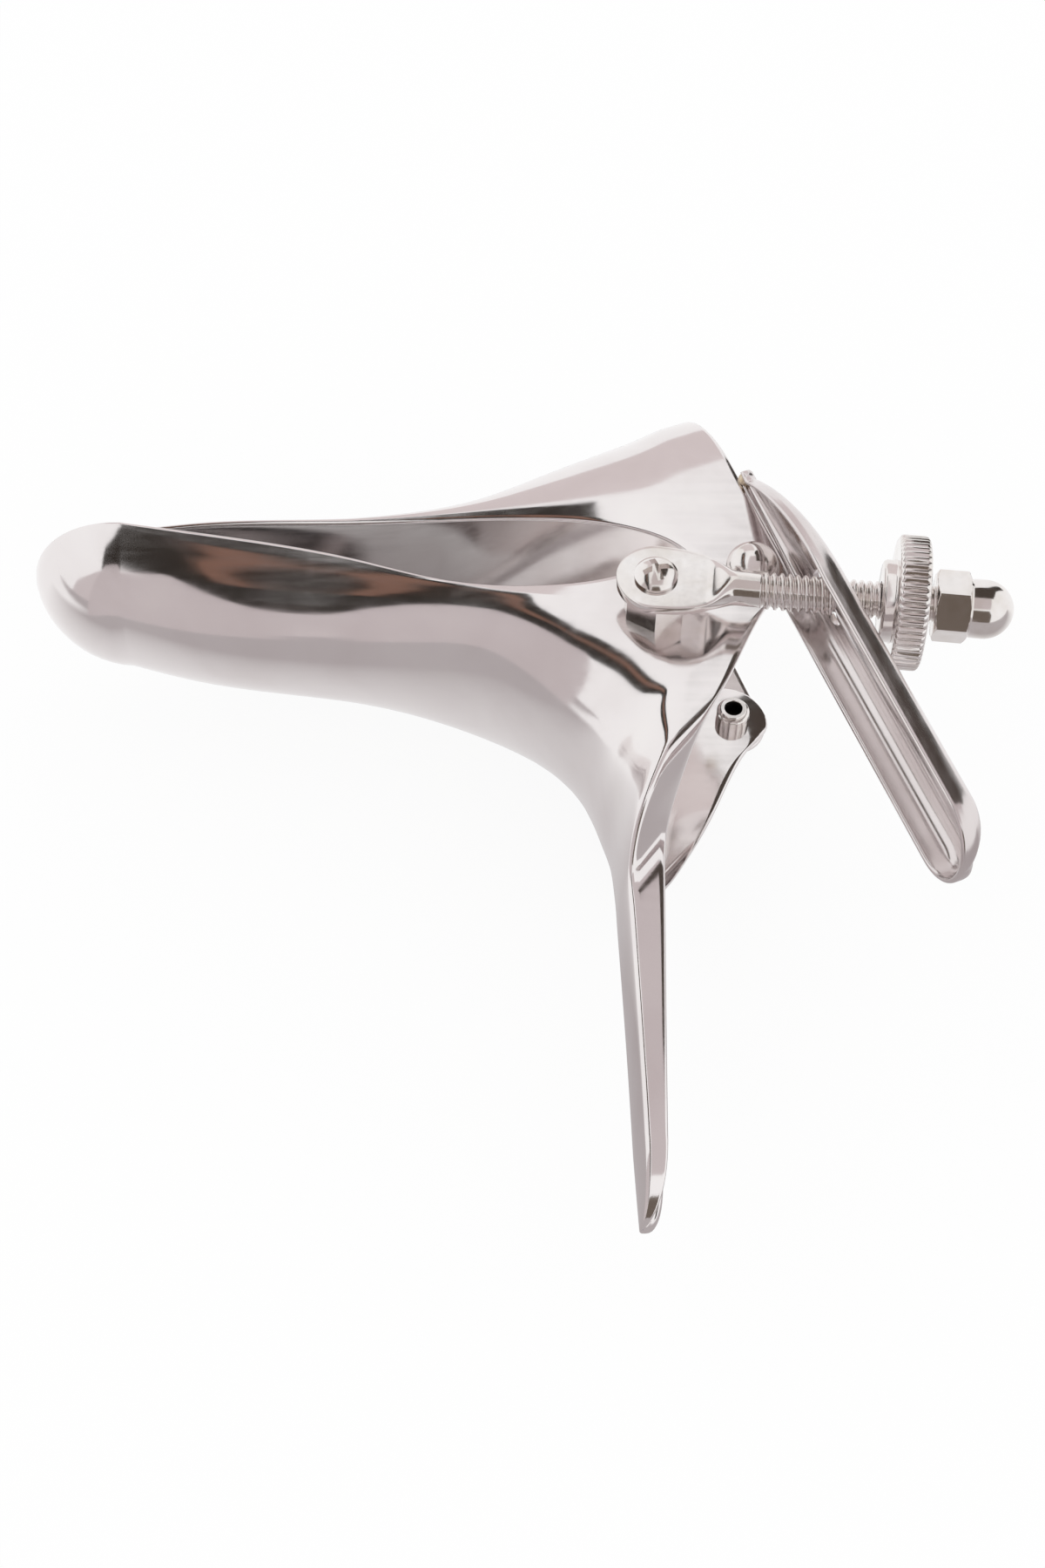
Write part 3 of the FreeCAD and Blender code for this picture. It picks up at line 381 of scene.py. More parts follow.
# Knot, rim x and y, floor x and y, half width and depth of the rounded floor.
LOWER_ROWS = (
    (0.00, -105.0, 15.6, -105.0, 1.0, 15.5, 13.2),
    (0.14, -90.18, 12.95, -90.18, -3.14, 15.7, 13.5),
    (0.34, -65.1, 7.22, -66.1, -6.27, 16.2, 11.6),
    (0.48, -48.0, 0.9, -53.0, -8.6, 18.2, 10.0),
    (0.58, -33.0, -1.9, -43.5, -11.8, 20.8, 11.5),
    (0.66, -20.0, 0.2, -35.5, -17.4, 21.5, 14.0),
    (0.74, -7.0, 6.2, -30.0, -23.6, 21.5, 16.5),
    (0.80, 3.125, 5.41, -27.6, -27.8, 21.5, 17.5),
    (0.84, 6.25, 0.0, -26.3, -31.0, 21.5, 18.0),
    (0.90, 3.125, -5.41, -24.9, -35.0, 21.5, 17.0),
    (1.00, -4.2, -19.8, -23.2, -40.5, 21.5, 14.0),
    (1.08, -9.3, -29.5, -22.6, -45.5, 20.6, 11.0),
    (1.14, -12.3, -36.0, -22.4, -48.5, 16.7, 7.5),
    (1.20, -14.4, -41.5, -22.3, -52.0, 11.5, 4.6),
    (1.28, -15.1, -50.0, -22.1, -57.0, 9.3, 3.2),
    (1.50, -15.6, -72.0, -21.34, -75.0, 8.4, 2.5),
    (1.70, -16.0, -92.0, -20.8, -92.0, 7.5, 2.3),
)
UPPER_ROWS = (
    (0.00, -104.0, 15.0, -104.0, 17.3, 13.0, 2.2),
    (0.14, -90.0, 15.9, -90.0, 18.8, 14.0, 2.8),
    (0.34, -70.0, 15.9, -70.0, 19.7, 14.5, 3.4),
    (0.50, -54.0, 15.4, -54.0, 21.9, 15.8, 5.4),
    (0.60, -44.0, 14.6, -45.0, 25.2, 17.43, 9.0),
    (0.70, -33.0, 12.8, -36.0, 30.7, 19.58, 15.5),
    (0.80, -22.0, 9.6, -27.0, 35.5, 21.98, 21.5),
    (0.90, -12.1, 4.9, -19.0, 39.4, 22.58, 23.0),
    (0.98, -6.0, -2.0, -14.5, 41.9, 22.58, 22.6),
    (1.04, 0.0, -6.25, -12.5, 42.7, 22.58, 22.3),
    (1.08, 4.42, -4.42, -11.5, 43.1, 22.58, 22.1),
    (1.12, 6.25, 0.0, -10.5, 43.4, 22.58, 22.0),
)


def stations_along(rows, end_knot, widest):
    """Stations of the splines through the rows, close together, with the rims lowered for their rounding."""
    knots = [row[0] for row in rows]
    curves = [natural_cubic(knots, [row[i] for row in rows]) for i in range(1, len(rows[0]))]
    count = round(end_knot / STATION_STEP)
    stations = []
    for i in range(count + 1):
        rim_x, rim_y, floor_x, floor_y, half_width, bend = (curve(end_knot * i / count) for curve in curves)
        depth = math.hypot(rim_x - floor_x, rim_y - floor_y)
        share = 1 - RIM_DROP / depth
        stations.append((floor_x + (rim_x - floor_x) * share, floor_y + (rim_y - floor_y) * share,
                         floor_x, floor_y, min(half_width, widest), min(bend, (depth - RIM_DROP) * MOST_BEND)))
    return stations


def inside_of(stations):
    """The same stations for the inside of the sheet."""
    inside = []
    last = len(stations) - 1
    for i, (rim_x, rim_y, floor_x, floor_y, half_width, bend) in enumerate(stations):
        before, after = stations[max(i - 1, 0)], stations[min(i + 1, last)]
        run_x, run_y = after[2] - before[2], after[3] - before[3]
        up_x, up_y = up_of(stations[i])
        across = abs(up_x * run_y - up_y * run_x) / math.hypot(run_x, run_y)
        lift = SHEET / max(across, LEAST_ACROSS)
        inside.append((rim_x, rim_y, floor_x + up_x * lift, floor_y + up_y * lift,
                       half_width - SHEET, bend - lift))
    return inside


def up_of(station):
    """The direction from the floor to the rims."""
    rim_x, rim_y, floor_x, floor_y = station[:4]
    depth = math.hypot(rim_x - floor_x, rim_y - floor_y)
    return (rim_x - floor_x) / depth, (rim_y - floor_y) / depth


def rounded_end(station, pole_x, pole_y, along_floor, slim=1.0):
    """Stations that close a gutter to a rounded end at the pole; slim over 1 makes the end more pointed."""
    rim_x, rim_y, floor_x, floor_y, half_width, bend = station
    start_x, start_y = (floor_x, floor_y) if along_floor else (rim_x, rim_y)
    stations = []
    for i in range(1, CAP_RINGS + 1):
        turn = QUARTER * i / CAP_RINGS
        x = start_x + (pole_x - start_x) * math.sin(turn)
        y = start_y + (pole_y - start_y) * math.sin(turn)
        shrink = max(math.cos(turn), 0.0) ** slim if i < CAP_RINGS else 0.0
        across_x, across_y = (rim_x - floor_x) * shrink, (rim_y - floor_y) * shrink
        rim = (x + across_x, y + across_y) if along_floor else (x, y)
        floor = (x, y) if along_floor else (x - across_x, y - across_y)
        stations.append(rim + floor + (half_width * shrink, bend * shrink))
    return stations


def gutter_points(station, up):
    """One U section of a gutter from its far rim to its near rim."""
    rim_x, rim_y, floor_x, floor_y, half_width, bend = station
    depth = math.hypot(rim_x - floor_x, rim_y - floor_y)
    half = []
    for i in range(BEND_STEPS + 1):
        turn = QUARTER * i / BEND_STEPS
        half.append((bend * (1 - math.cos(turn)), half_width * math.sin(turn)))
    half += [(bend + (depth - bend) * i / WALL_STEPS, half_width) for i in range(1, WALL_STEPS + 1)]
    profile = [(rise, -out) for rise, out in half[:0:-1]] + half
    return [Vector((floor_x + up[0] * rise, floor_y + up[1] * rise, out)) for rise, out in profile]


def rim_points(start, end, up):
    """The rounding of a rim from one face of the sheet over to the other."""
    middle, half = (start + end) / 2, (start - end) / 2
    points = []
    for i in range(1, RIM_STEPS):
        turn = math.pi * i / RIM_STEPS
        points.append(middle + half * math.cos(turn) + up * (RIM_DROP * math.sin(turn)))
    return points


def sheet_ring(outer, inner, up):
    """A closed ring round the sheet: outer face, near rim, inner face, far rim."""
    return outer + rim_points(outer[-1], inner[-1], up) + inner[::-1] + rim_points(inner[0], outer[0], up)


def sheet_rings(stations, inside, lean=None):
    """The ring at each station, leaning one way throughout or each as its own station does."""
    rings = []
    for station, within in zip(stations, inside):
        up = lean or up_of(station)
        rings.append(sheet_ring(gutter_points(station, up), gutter_points(within, up), Vector((*up, 0))))
    return rings


def rings_to_mesh(name, rings, columns, materials, body, *replaced):
    """A closed sheet from its rings; the last material is for its inside.

    Rings that fall on one point or one line are welded shut.
    """
    made = bmesh.new()
    rows = [[made.verts.new((point + HINGE) * MM) for point in ring] for ring in rings]
    for one, two in zip(rows, rows[1:]):
        for j in range(len(one)):
            after = (j + 1) % len(one)
            face = made.faces.new((one[j], one[after], two[after], two[j]))
            inner = columns + RIM_STEPS - 1 <= j < 2 * columns + RIM_STEPS - 2
            face.material_index = len(materials) - 1 if inner else 0
    bmesh.ops.remove_doubles(made, verts=made.verts, dist=2e-6)
    bmesh.ops.recalc_face_normals(made, faces=made.faces)
    mesh = bpy.data.meshes.new(name)
    made.to_mesh(mesh)
    made.free()
    return place_piece(name, mesh, materials, body, replaced)


def pair_of(j, count, total):
    """The place across the sheet from one place on its ring."""
    if j < count:
        return count + RIM_STEPS - 1 + (count - 1 - j)
    if j < count + RIM_STEPS - 1:
        return count + (count + RIM_STEPS - 2 - j)
    if j < 2 * count + RIM_STEPS - 1:
        return 2 * count + RIM_STEPS - 2 - j
    return 2 * count + RIM_STEPS - 1 + (total - 1 - j)


def rounded_edge(ring, before, count):
    """Rings that round off an open end of a sheet, out along the way it was running."""
    rings = []
    total = len(ring)
    for turn in map(math.radians, EDGE_TURNS):
        points = []
        for j in range(total):
            middle = (ring[j] + ring[pair_of(j, count, total)]) / 2
            way = (ring[j] - before[j]).normalized()
            points.append(middle + (ring[j] - middle) * math.cos(turn) + way * (SHEET / 2 * math.sin(turn)))
        rings.append(points)
    rings[-1] = [(rings[-1][j] + rings[-1][pair_of(j, count, total)]) / 2 for j in range(total)]
    return rings


def valve_rings(rows, end_knot, widest, tip, end=None, slim=1.0):
    """All rings of a valve, from its rounded tip to its rounded end or its open mouth."""
    stations = stations_along(rows, end_knot, widest)
    inside = inside_of(stations)
    up = up_of(stations[0])
    tip_x, tip_y = tip[0] - up[0] * RIM_DROP, tip[1] - up[1] * RIM_DROP
    cap = sheet_rings(rounded_end(stations[0], tip_x, tip_y, False, slim),
                      rounded_end(inside[0], tip_x + SHEET, tip_y, False, slim), up)
    rings = cap[::-1] + sheet_rings(stations, inside)
    if end:
        return rings + sheet_rings(rounded_end(stations[-1], end[0], end[1], True),
                                   rounded_end(inside[-1], end[0], end[1] + SHEET, True), up_of(stations[-1]))
    return rings + rounded_edge(rings[-1], rings[-2], GUTTER_COLUMNS)


def make_valves():
    lower = valve_rings(LOWER_ROWS, end_knot=1.7, widest=21.5, tip=(-121.5, 16.2), end=(-20.2, -104.5), slim=1.12)
    rings_to_mesh("lower_valve_pressed", lower, GUTTER_COLUMNS, [valve_steel], "lower", "lower_valve")
    upper = valve_rings(UPPER_ROWS, end_knot=1.11, widest=22.58, tip=(-113.5, 14.5))
    # The upper valve's last material, for its inside, carries painted shade.
    rings_to_mesh("upper_valve_pressed", upper, GUTTER_COLUMNS, [valve_steel, shaded_inside_steel], "upper", "upper_valve")


# ---------------------------------------------------------------- thumb lever

LEVER_SLOPE = math.radians(69.4)
MOUTH = 6.25
LEVER_TOP = -19.6
LEVER_STRAIGHT = 57.0
LEVER_ROUND = 8.0
LEVER_RINGS = 90
LEVER_FAR = 21.58
LEVER_BACK = 1.8
LEVER_RISE = 15.4
RISE_LENGTH = 34.0
LEAST_WIDTH = 3.2
EAR_END = 1.9
EAR_FADE = 3.8
FAR_DEPTH = 5.4
RIB_HALF_WIDTH = 3.6
RIB_STEPS = 16
CORNER_STEPS = 8
SIDE_STEPS = 5
SLOT_AT = 27.7
SLOT_HALF_LENGTH = 1.4
SLOT_RADIUS = 3.6
SLOT_REACH = 2.6
SLOT_POINTS = 24


def lever_point(along, across, height):
    """A point given along the lever, in front of the hood mouth and up the hinge axis."""
    x = MOUTH + along * math.cos(LEVER_SLOPE) + across * math.sin(LEVER_SLOPE)
    y = -along * math.sin(LEVER_SLOPE) + across * math.cos(LEVER_SLOPE)
    return Vector((x, y, height))


def corner_points(centre, radius, start, end):
    turns = [start + (end - start) * i / CORNER_STEPS for i in range(CORNER_STEPS + 1)]
    return [(centre[0] + radius * math.cos(turn), centre[1] + radius * math.sin(turn)) for turn in turns]


def lever_profile(near, far, back, near_depth, far_depth, corner, rib):
    """The lever's U section as pairs of across and height, from its far rim to its near rim."""
    corner = max(min(corner, near_depth * 0.85, (near - far) * 0.42), 0.02)
    profile = [(back - far_depth + (far_depth - corner) * i / SIDE_STEPS, far) for i in range(SIDE_STEPS)]
    profile += corner_points((back - corner, far + corner), corner, -QUARTER, 0)
    low, high = far + corner, near - corner
    middle = (low + high) / 2
    half = min(RIB_HALF_WIDTH, (high - low) * 0.45)
    for i in range(1, RIB_STEPS):
        height = low + (high - low) * i / RIB_STEPS
        away = min(abs(height - middle) / half, 1) if half else 1
        profile.append((back - rib * 0.5 * (1 + math.cos(math.pi * away)), height))
    profile += corner_points((back - corner, near - corner), corner, 0, QUARTER)
    profile += [(back - corner - (near_depth - corner) * i / SIDE_STEPS, near) for i in range(1, SIDE_STEPS + 1)]
    return profile


def lever_state(along):
    """Near, far, back, the two depths, corner and rib at a place along the lever."""
    share = share_of(along, LEVER_TOP, RISE_LENGTH)
    raised = LEVER_RISE * math.sin(share * QUARTER) ** 0.8
    near = max(LEVER_FAR + SHEET + raised, LEVER_FAR + LEAST_WIDTH)
    below_ear = eased(share_of(along, EAR_END, EAR_FADE))
    far_depth = (LEVER_BACK + 0.05) * (1 - below_ear) + FAR_DEPTH * below_ear
    near_depth = 1.7 + 2.3 * share
    rib = min(max(2 * share - 1, 0), 1)
    return near, LEVER_FAR, LEVER_BACK, near_depth, far_depth, 1.1 + 1.9 * share, rib


def lever_ring(along, state, shrink=1.0, end_share=0.0):
    """The ring at a place along the lever, or a share of the way round its end."""
    near, far, back, near_depth, far_depth, corner, rib = state
    middle = (near + far) / 2
    rim = back - (near_depth + far_depth) / 2
    faces = []
    for inset in (0.0, SHEET):
        place = along + (LEVER_ROUND - inset) * end_share
        profile = lever_profile(near - inset, far + inset, back - inset, near_depth - inset,
                                far_depth - inset, corner - inset * 0.8, rib)
        faces.append([lever_point(place, rim + (across - rim) * shrink, middle + (height - middle) * shrink)
                      for across, height in profile])
    return sheet_ring(*faces, lever_point(0, -1, 0) - lever_point(0, 0, 0))


def make_lever():
    rings = []
    for i in range(LEVER_RINGS + 1):
        along = LEVER_TOP + (LEVER_STRAIGHT - LEVER_TOP) * i / LEVER_RINGS
        rings.append(lever_ring(along, lever_state(along)))
    last = lever_state(LEVER_STRAIGHT)
    for i in range(1, CAP_RINGS + 1):
        turn = QUARTER * i / CAP_RINGS
        shrink = math.cos(turn) if i < CAP_RINGS else 0.0
        rings.append(lever_ring(LEVER_STRAIGHT, last, shrink, math.sin(turn)))
    columns = (len(rings[0]) - 2 * (RIM_STEPS - 1)) // 2
    rings = rounded_edge(rings[0], rings[1], columns)[::-1] + rings
    cut_slot(rings_to_mesh("thumb_lever_pressed", rings, columns, [lever_steel], "upper", "thumb_lever"))


def slot_cutter():
    """A long round-ended bar through the lever's web, where the rod passes."""
    centre = on_rod(SLOT_AT, 0, 0)
    lengthwise = (lever_point(1, 0, 0) - lever_point(0, 0, 0)).normalized()
    through = (lever_point(0, 1, 0) - lever_point(0, 0, 0)).normalized()
    points = []
    for side in (-SLOT_REACH, SLOT_REACH):
        for i in range(SLOT_POINTS):
            turn = 2 * math.pi * i / SLOT_POINTS
            shift = SLOT_HALF_LENGTH if math.cos(turn) >= 0 else -SLOT_HALF_LENGTH
            along, height = shift + SLOT_RADIUS * math.cos(turn), SLOT_RADIUS * math.sin(turn)
            points.append(centre + (lengthwise * along + through * side + UP * height) * MM)
    made = bmesh.new()
    corners = [made.verts.new(point) for point in points]
    for face in closed_faces(2, SLOT_POINTS):
        made.faces.new([corners[i] for i in face])
    bmesh.ops.recalc_face_normals(made, faces=made.faces)
    mesh = bpy.data.meshes.new("slot_cutter")
    made.to_mesh(mesh)
    made.free()
    cutter = bpy.data.objects.new("slot_cutter", mesh)
    scene.collection.objects.link(cutter)
    return cutter


def cut_slot(piece):
    """Cuts the long hole for the rod out of the lever's web."""
    cutter = slot_cutter()
    cut = piece.modifiers.new("slot", "BOOLEAN")
    cut.object = cutter
    cut.operation = "DIFFERENCE"
    cut.solver = "EXACT"
    depsgraph = bpy.context.evaluated_depsgraph_get()
    whole = bpy.data.meshes.new_from_object(piece.evaluated_get(depsgraph))
    piece.modifiers.clear()
    piece.data = whole
    whole.set_sharp_from_angle(angle=math.radians(50))
    bpy.data.objects.remove(cutter)


# ---------------------------------------------------------------- eye, rivets and cap nut

EYE_PLACES = (0.0, 2.0, 4.0, 6.0, 8.0, 10.0, 11.5, 12.6, 14.0, 16.7)
EYE_WIDTHS = (6.25, 6.18, 6.0, 5.65, 5.0, 3.9, 3.05, 2.76, 2.74, 2.74)
EYE_RADIUS = 6.25
EYE_POINTS = 56
EYE_HALF_THICK = 0.9
EYE_RISE = 0.4
EYE_SQUARENESS = 12
SHANK_RADIUS = 2.74
NECK_START = 8.2
NECK_LENGTH = 4.4
SMOOTH_FROM = 8.4


def eye_ring(along, width_at):
    """One section of the eye bolt: a flat plate at the eye, a round shank past the neck."""
    round_share = eased(share_of(along, NECK_START, NECK_LENGTH))
    width = width_at(along) if along > 0 else math.sqrt(max(EYE_RADIUS ** 2 - along ** 2, 0.04))
    thick = EYE_HALF_THICK + (SHANK_RADIUS - EYE_HALF_THICK) * round_share
    rise = EYE_RISE * (1 - round_share)
    power = 2 / (EYE_SQUARENESS + (2 - EYE_SQUARENESS) * round_share ** 0.3)
    points = []
    for i in range(EYE_POINTS):
        turn = 2 * math.pi * i / EYE_POINTS
        side, up = math.cos(turn), math.sin(turn)
        side = math.copysign(abs(side) ** power, side) * width
        up = math.copysign(abs(up) ** power, up) * thick + rise
        points.append(PIVOT + WAY * (along * MM) + SIDE * (side * MM) + UP * (up * MM))
    return points


def make_eye():
    """The forged eye and its neck, with sharp edges only round the flat plate."""
    width_at = natural_cubic(EYE_PLACES, EYE_WIDTHS)
    places = [-EYE_RADIUS * math.cos(QUARTER * i / 16) for i in range(16)]
    places += [EYE_PLACES[-1] * i / 50 for i in range(51)]
    points = [point for along in places for point in eye_ring(along, width_at)]
    piece = turned_piece("rod_eye", points, closed_faces(len(places), EYE_POINTS), "rod", "eye_rod", crease=42)
    for edge in piece.data.edges:
        along = (piece.data.vertices[edge.vertices[0]].co - PIVOT).dot(WAY) / MM
        if along > SMOOTH_FROM:
            edge.use_edge_sharp = False


# Radius and height from the middle plane, from the floor of the hollow end out to the head's edge.
RIVET_OUTLINE = (
    (0.02, 20.4), (1.5, 20.4), (1.5, 17.15), (1.62, 17.0), (2.2, 17.0), (2.33, 17.15), (2.33, 17.75),
    (2.72, 17.85), (2.88, 18.02), (2.88, 19.2), (2.0, 19.2), (2.0, 22.66), (4.2, 22.66), (4.33, 22.72),
)
RIVET_POINTS = 48
RIVET_SEAT = 22.66
DOME_EDGE = 0.14
DOME_STEPS = 15
HEAD_RADIUS = 4.35
BORE_RADIUS = 1.5
BORE_FLOOR = 20.4


def make_rivet(name, side, dome, replaced):
    """A hinge rivet turned about the hinge: a domed head outside and a hollow end inside, whose bore is painted in
    shade.
    """
    outline = list(RIVET_OUTLINE)
    for i in range(DOME_STEPS):
        turn = QUARTER * i / DOME_STEPS
        outline.append((HEAD_RADIUS * math.cos(turn), RIVET_SEAT + DOME_EDGE + (dome - DOME_EDGE) * math.sin(turn)))
    outline.append((0.02, RIVET_SEAT + dome))
    points = []
    for radius, height in outline:
        for i in range(RIVET_POINTS):
            turn = 2 * math.pi * i / RIVET_POINTS
            place = Vector((radius * math.cos(turn), side * radius * math.sin(turn), side * height))
            points.append((place + HINGE) * MM)
    piece = turned_piece(name, points, closed_faces(len(outline), RIVET_POINTS), "lower", replaced, crease=40)
    # The bore of the hollow end gets painted shade.
    piece.data.materials.append(shaded_bore)
    for face in piece.data.polygons:
        middle = (face.center / MM - HINGE) * side
        if math.hypot(middle.x, middle.y) < BORE_RADIUS + 0.01 and middle.z < BORE_FLOOR + 0.1:
            face.material_index = 1


CAP_START = 43.75
CAP_END = 56.25
CAP_BORE = 3.0
HEX_LENGTH = 5.4
HEX_FLAT = 5.0
HEX_TURN = math.radians(-11)
HEX_POINTS = 96
HEX_END_STEPS = (0.0, 0.06, 0.12, 0.18, 0.24, 0.3, 0.36, 0.42, 0.6)
HEX_END_RADIUS = 4.98
HEX_END_SLOPE = 1.9
DOME_RADIUS = 4.65


def make_cap_nut():
    """The acorn nut: a hexagon turned off at both ends, and a dome."""
    turns = [2 * math.pi * i / HEX_POINTS for i in range(HEX_POINTS)]
    points = [on_rod(CAP_START, CAP_BORE, turn) for turn in turns]
    hexagon = [(CAP_START + end, end) for end in HEX_END_STEPS]
    hexagon += [(CAP_START + HEX_LENGTH - end, end) for end in HEX_END_STEPS[::-1]]
    for along, end in hexagon:
        for turn in turns:
            corner = (turn - HEX_TURN) % (math.pi / 3) - math.pi / 6
            radius = min(HEX_FLAT / math.cos(corner), HEX_END_RADIUS + end * HEX_END_SLOPE)
            points.append(on_rod(along, radius, turn))
    foot = CAP_START + HEX_LENGTH
    dome = [(foot, DOME_RADIUS + 0.1), (foot + 0.3, DOME_RADIUS - 0.05), (foot + 1.2, DOME_RADIUS)]
    for i in range(16):
        lean = QUARTER * i / 16
        dome.append((CAP_END - DOME_RADIUS * (1 - math.sin(lean)), DOME_RADIUS * math.cos(lean)))
    dome.append((CAP_END, 0.02))
    points += [on_rod(along, radius, turn) for along, radius in dome for turn in turns]
    faces = closed_faces(len(points) // HEX_POINTS, HEX_POINTS)
    turned_piece("acorn_nut", points, faces, "rod", "stop_nut", crease=28)


make_eye()
make_thread()
make_nut()
make_cap_nut()
make_rivet("rivet_near_domed", 1, 4.0, "hinge_rivet_near")
make_rivet("rivet_far_domed", -1, 2.3, "hinge_rivet_far")
make_valves()
make_lever()


# ---------------------------------------------------------------- finishes of the CAD nodes

FINISHES = {"lower_valve": valve_steel, "upper_valve": valve_steel, "thumb_lever": lever_steel, "braze_bead": braze}
CRISP_ANGLE = math.radians(32)


def dress(node, material):
    """Gives a CAD node its material, and shades it smooth between its true edges."""
    weld = node.modifiers.new("weld", "WELD")
    weld.merge_threshold = 1e-6
    crisp = node.modifiers.new("crisp", "EDGE_SPLIT")
    crisp.split_angle = CRISP_ANGLE
    node.data.materials.clear()
    node.data.materials.append(material)


for name in nodes:
    dress(nodes[name], FINISHES.get(name, nickel))


# ---------------------------------------------------------------- floor and world

FLOOR_REACH = 3.0
FLOOR_PAINT = (0.96, 0.96, 0.96, 1)
# The grey that reflections see on the floor in front: painted shade of the floor.
FLOOR_REFLECTED_SHADE = (0.47, 0.435, 0.44)
WHITE = (1.0, 1.0, 1.0)
CAMERA_GLOW = 0.9
GLOSSY_GLOW = 0.95


def seen_by(tree, *outputs):
    """1 for the rays named, 0 for the others."""
    rays = add_node(tree, "ShaderNodeLightPath")
    seen = rays.outputs[outputs[0]]
    for other in outputs[1:]:
        seen = joined(tree, "MAXIMUM", seen, rays.outputs[other])
    return seen


def floor_whiteness(tree):
    """1 where the floor is white: for the camera, behind the object and to its left. Reflections see painted shade, a
    grey, on the floor in front.
    """
    place = add_node(tree, "ShaderNodeSeparateXYZ")
    link(tree, add_node(tree, "ShaderNodeTexCoord").outputs["Object"], place.inputs["Vector"])
    left = joined(tree, "MULTIPLY", spread(tree, place.outputs["X"], 1.0, 0.0, -0.19, -0.13),
                  spread(tree, place.outputs["Y"], 0.0, 1.0, -0.09, -0.03))
    behind = spread(tree, place.outputs["Y"], 0.0, 1.0, -0.02, 0.05)
    return joined(tree, "MAXIMUM", joined(tree, "MAXIMUM", left, behind), seen_by(tree, "Is Camera Ray"))


def make_floor():
    """A pale floor that keeps the object's soft shadow."""
    far, level = FLOOR_REACH, cad_box[0].z
    mesh = bpy.data.meshes.new("floor")
    mesh.from_pydata([(-far, -far, level), (far, -far, level), (far, far, level), (-far, far, level)], [],
                     [(0, 1, 2, 3)])
    floor = bpy.data.objects.new("floor", mesh)
    scene.collection.objects.link(floor)
    material = bpy.data.materials.new("floor_white")
    material.use_nodes = True
    tree = material.node_tree
    tree.nodes.clear()
    paint = add_node(tree, "ShaderNodeBsdfDiffuse")
    paint.inputs["Color"].default_value = FLOOR_PAINT
    glow = add_node(tree, "ShaderNodeEmission")
    # Reflections see painted shade in front and white elsewhere.
    link(tree, ramp(tree, floor_whiteness(tree), [(0.0, FLOOR_REFLECTED_SHADE), (1.0, WHITE)]), glow.inputs["Color"])
    camera_share = joined(tree, "MULTIPLY", seen_by(tree, "Is Camera Ray"), CAMERA_GLOW)
    glossy_share = joined(tree, "MULTIPLY", seen_by(tree, "Is Glossy Ray", "Is Transmission Ray"), GLOSSY_GLOW)
    mix = add_node(tree, "ShaderNodeMixShader")
    link(tree, joined(tree, "MAXIMUM", camera_share, glossy_share), mix.inputs["Fac"])
    link(tree, paint.outputs["BSDF"], mix.inputs[1])
    link(tree, glow.outputs["Emission"], mix.inputs[2])
    end = add_node(tree, "ShaderNodeOutputMaterial")
    link(tree, mix.outputs["Shader"], end.inputs["Surface"])
    mesh.materials.append(material)


def make_world():
    """An even white sky, which is the only light."""
    world = bpy.data.worlds.new("studio")
    scene.world = world
    world.use_nodes = True
    tree = world.node_tree
    tree.nodes.clear()
    sky = add_node(tree, "ShaderNodeBackground")
    sky.inputs["Color"].default_value = (*WHITE, 1)
    sky.inputs["Strength"].default_value = 1.0
    end = add_node(tree, "ShaderNodeOutputWorld")
    link(tree, sky.outputs["Background"], end.inputs["Surface"])


# ---------------------------------------------------------------- studio cards, seen only in reflections

MIDDLE = Vector((-0.01, 0.01, 0.03))


def way_to(right, back):
    """A direction by how far it leans from straight up towards +X and towards +Y, in degrees."""
    lean = math.radians(math.hypot(right, back))
    bearing = math.atan2(back, right)
    return Vector((math.sin(lean) * math.cos(bearing), math.sin(lean) * math.sin(bearing), math.cos(lean)))


def far_card(ways, distance):
    """Corners in the given directions from the object's middle."""
    return [MIDDLE + way_to(*way) * distance for way in ways]


def low_card(places, height):
    """Corners by x and y of a level card close over the object."""
    return [Vector((x, y, height)) for x, y in places]


def upright_card(places, x):
    """Corners by y and z of a card that stands across X."""
    return [Vector((x, y, z)) for y, z in places]


def make_card(name, points, colour):
    mesh = bpy.data.meshes.new(name)
    mesh.from_pydata([tuple(point) for point in points], [], [list(range(len(points)))])
    card = bpy.data.objects.new(name, mesh)
    scene.collection.objects.link(card)
    material = bpy.data.materials.new(name)
    material.use_nodes = True
    tree = material.node_tree
    tree.nodes.clear()
    paint = add_node(tree, "ShaderNodeEmission")
    paint.inputs["Color"].default_value = (*colour, 1)
    end = add_node(tree, "ShaderNodeOutputMaterial")
    link(tree, paint.outputs["Emission"], end.inputs["Surface"])
    mesh.materials.append(material)
    card.visible_camera = False
    card.visible_diffuse = False
    card.visible_shadow = False
    card.visible_transmission = False


# The dark band with its copper stripe on the lower blade.
DARK_STRIP = (
    (-0.115, 0.215), (-0.055, 0.215), (-0.055, 0.13), (-0.062, 0.08), (-0.068, 0.04), (-0.072, 0.0),
    (-0.08, -0.05), (-0.094, -0.10), (-0.108, -0.15), (-0.118, -0.20), (-0.135, -0.31), (-0.34, -0.31),
    (-0.28, -0.20), (-0.217, -0.12), (-0.19, -0.06), (-0.168, 0.0), (-0.152, 0.05), (-0.132, 0.11),
)
COPPER_STRIPE = (
    (-0.089, 0.175), (-0.072, 0.165), (-0.071, 0.10), (-0.086, 0.052), (-0.099, 0.005),
    (-0.104, -0.06), (-0.118, -0.05), (-0.114, 0.0), (-0.105, 0.05), (-0.091, 0.1),
)
# The dark lines on the lever and the nuts.
RIGHT_STRIP = (
    (0.075, 0.03), (0.072, 0.12), (0.078, 0.18), (0.12, 0.24), (0.20, 0.30), (0.26, 0.24), (0.16, 0.03),
)
RIGHT_DARK = ((7, 27), (9, 42), (17, 52), (36, 66), (55, 76), (64, 64), (42, 42), (18, 24))
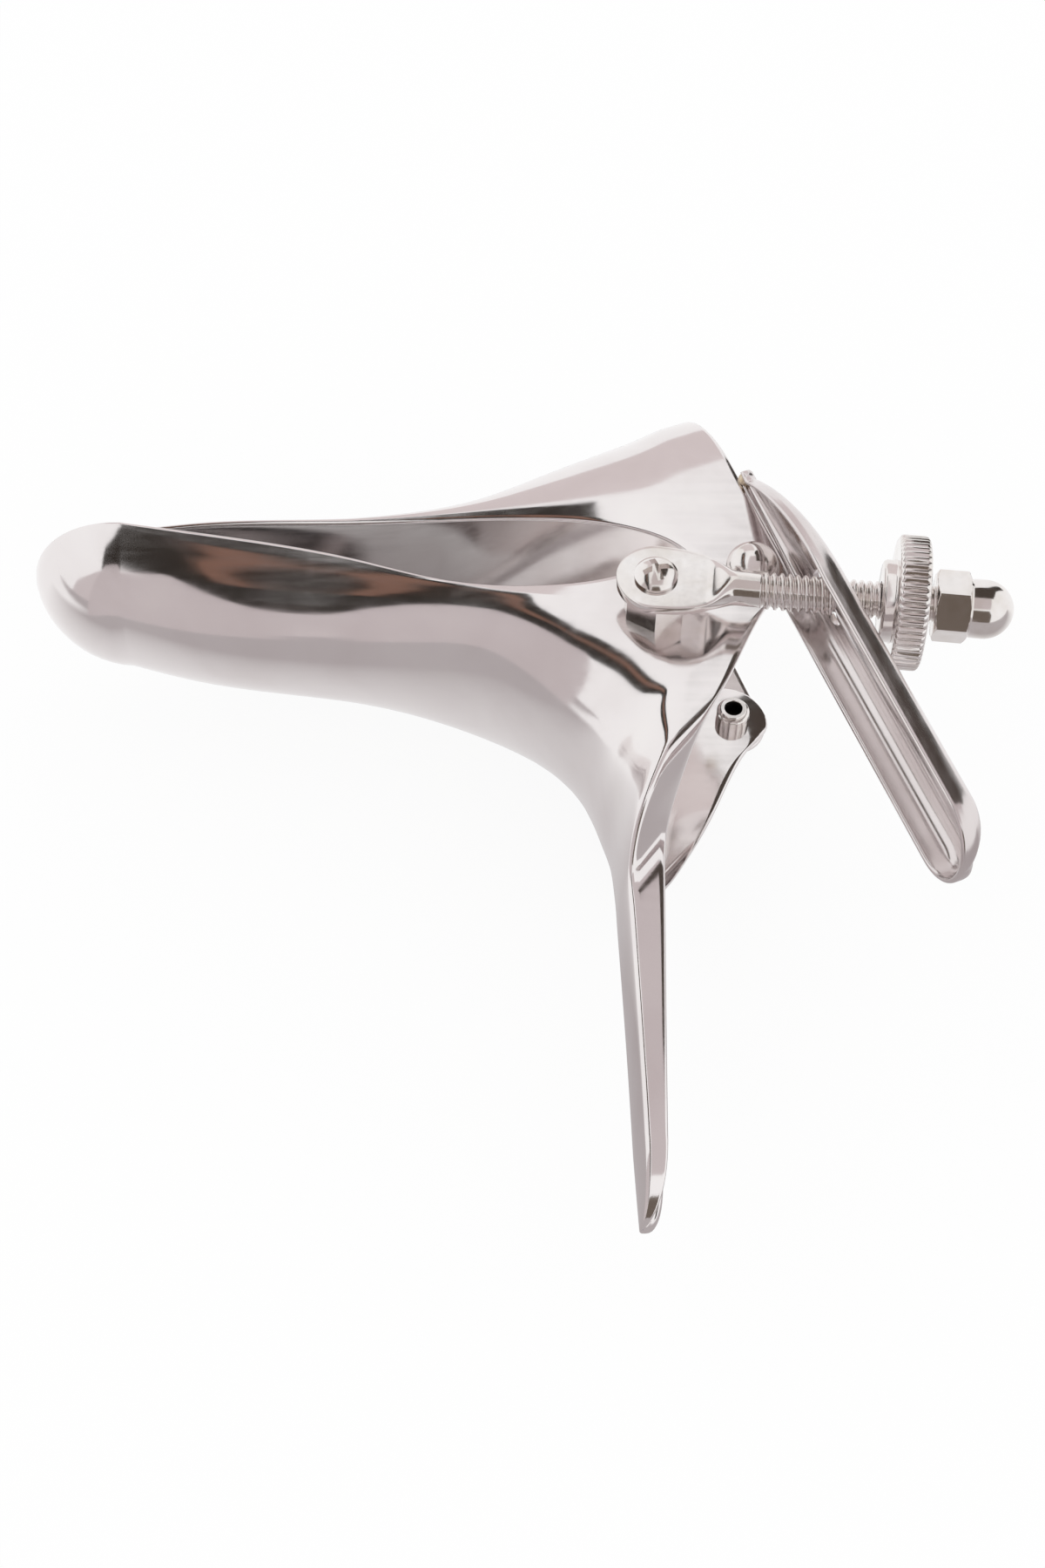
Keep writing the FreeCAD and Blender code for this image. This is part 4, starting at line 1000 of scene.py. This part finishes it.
# The greys of the flanges, the handle, the lower part of the blade and the hood.
GREY_SHEET = ((-0.05, -0.13), (-0.045, -0.04), (-0.012, 0.04), (0.008, 0.098), (0.14, 0.098), (0.14, -0.13))
LEFT_LOW = ((-0.3, 0), (-0.035, 0), (-0.035, 0.2), (-0.3, 0.2))
FRONT_LEFT = ((-19, -30), (-70, -30), (-95, -40), (-95, -95), (-19, -95))
FRONT = ((-18, -44), (14, -44), (24, -58), (24, -95), (-18, -95), (-20, -54))
BACK = ((-26, 46), (8, 46), (2, 95), (-40, 95), (-24, 60))

make_floor()
make_world()
make_card("dark_strip", low_card(DARK_STRIP, 0.23), (0.035, 0.03, 0.026))
make_card("copper_stripe", low_card(COPPER_STRIPE, 0.228), (0.24, 0.135, 0.10))
make_card("right_strip", low_card(RIGHT_STRIP, 0.23), (0.07, 0.056, 0.048))
make_card("right_dark_card", far_card(RIGHT_DARK, 3.0), (0.05, 0.042, 0.036))
make_card("left_low_card", upright_card(LEFT_LOW, -0.14), (0.6, 0.545, 0.55))
make_card("grey_sheet", low_card(GREY_SHEET, 0.235), (0.62, 0.56, 0.565))
make_card("front_left_card", far_card(FRONT_LEFT, 3.04), (0.66, 0.605, 0.61))
make_card("front_card", far_card(FRONT, 3.06), (0.16, 0.13, 0.11))
make_card("back_card", far_card(BACK, 3.1), (0.74, 0.67, 0.67))


# ---------------------------------------------------------------- camera

SENSOR = 36.0
FOCAL_PIXELS = 2642
PHOTO_HEIGHT = 1800
CAMERA_PLACE = (0.0037, -0.2021, 0.3410)
CAMERA_LEAN = math.radians(33)

camera_data = bpy.data.cameras.new("camera")
camera_data.sensor_width = SENSOR
camera_data.lens = SENSOR * FOCAL_PIXELS / PHOTO_HEIGHT
camera_data.clip_start = 0.01
camera_data.clip_end = 20.0
camera = bpy.data.objects.new("camera", camera_data)
camera.location = CAMERA_PLACE
camera.rotation_euler = (CAMERA_LEAN, 0, 0)
scene.collection.objects.link(camera)
scene.camera = camera
scene.view_settings.view_transform = "Standard"
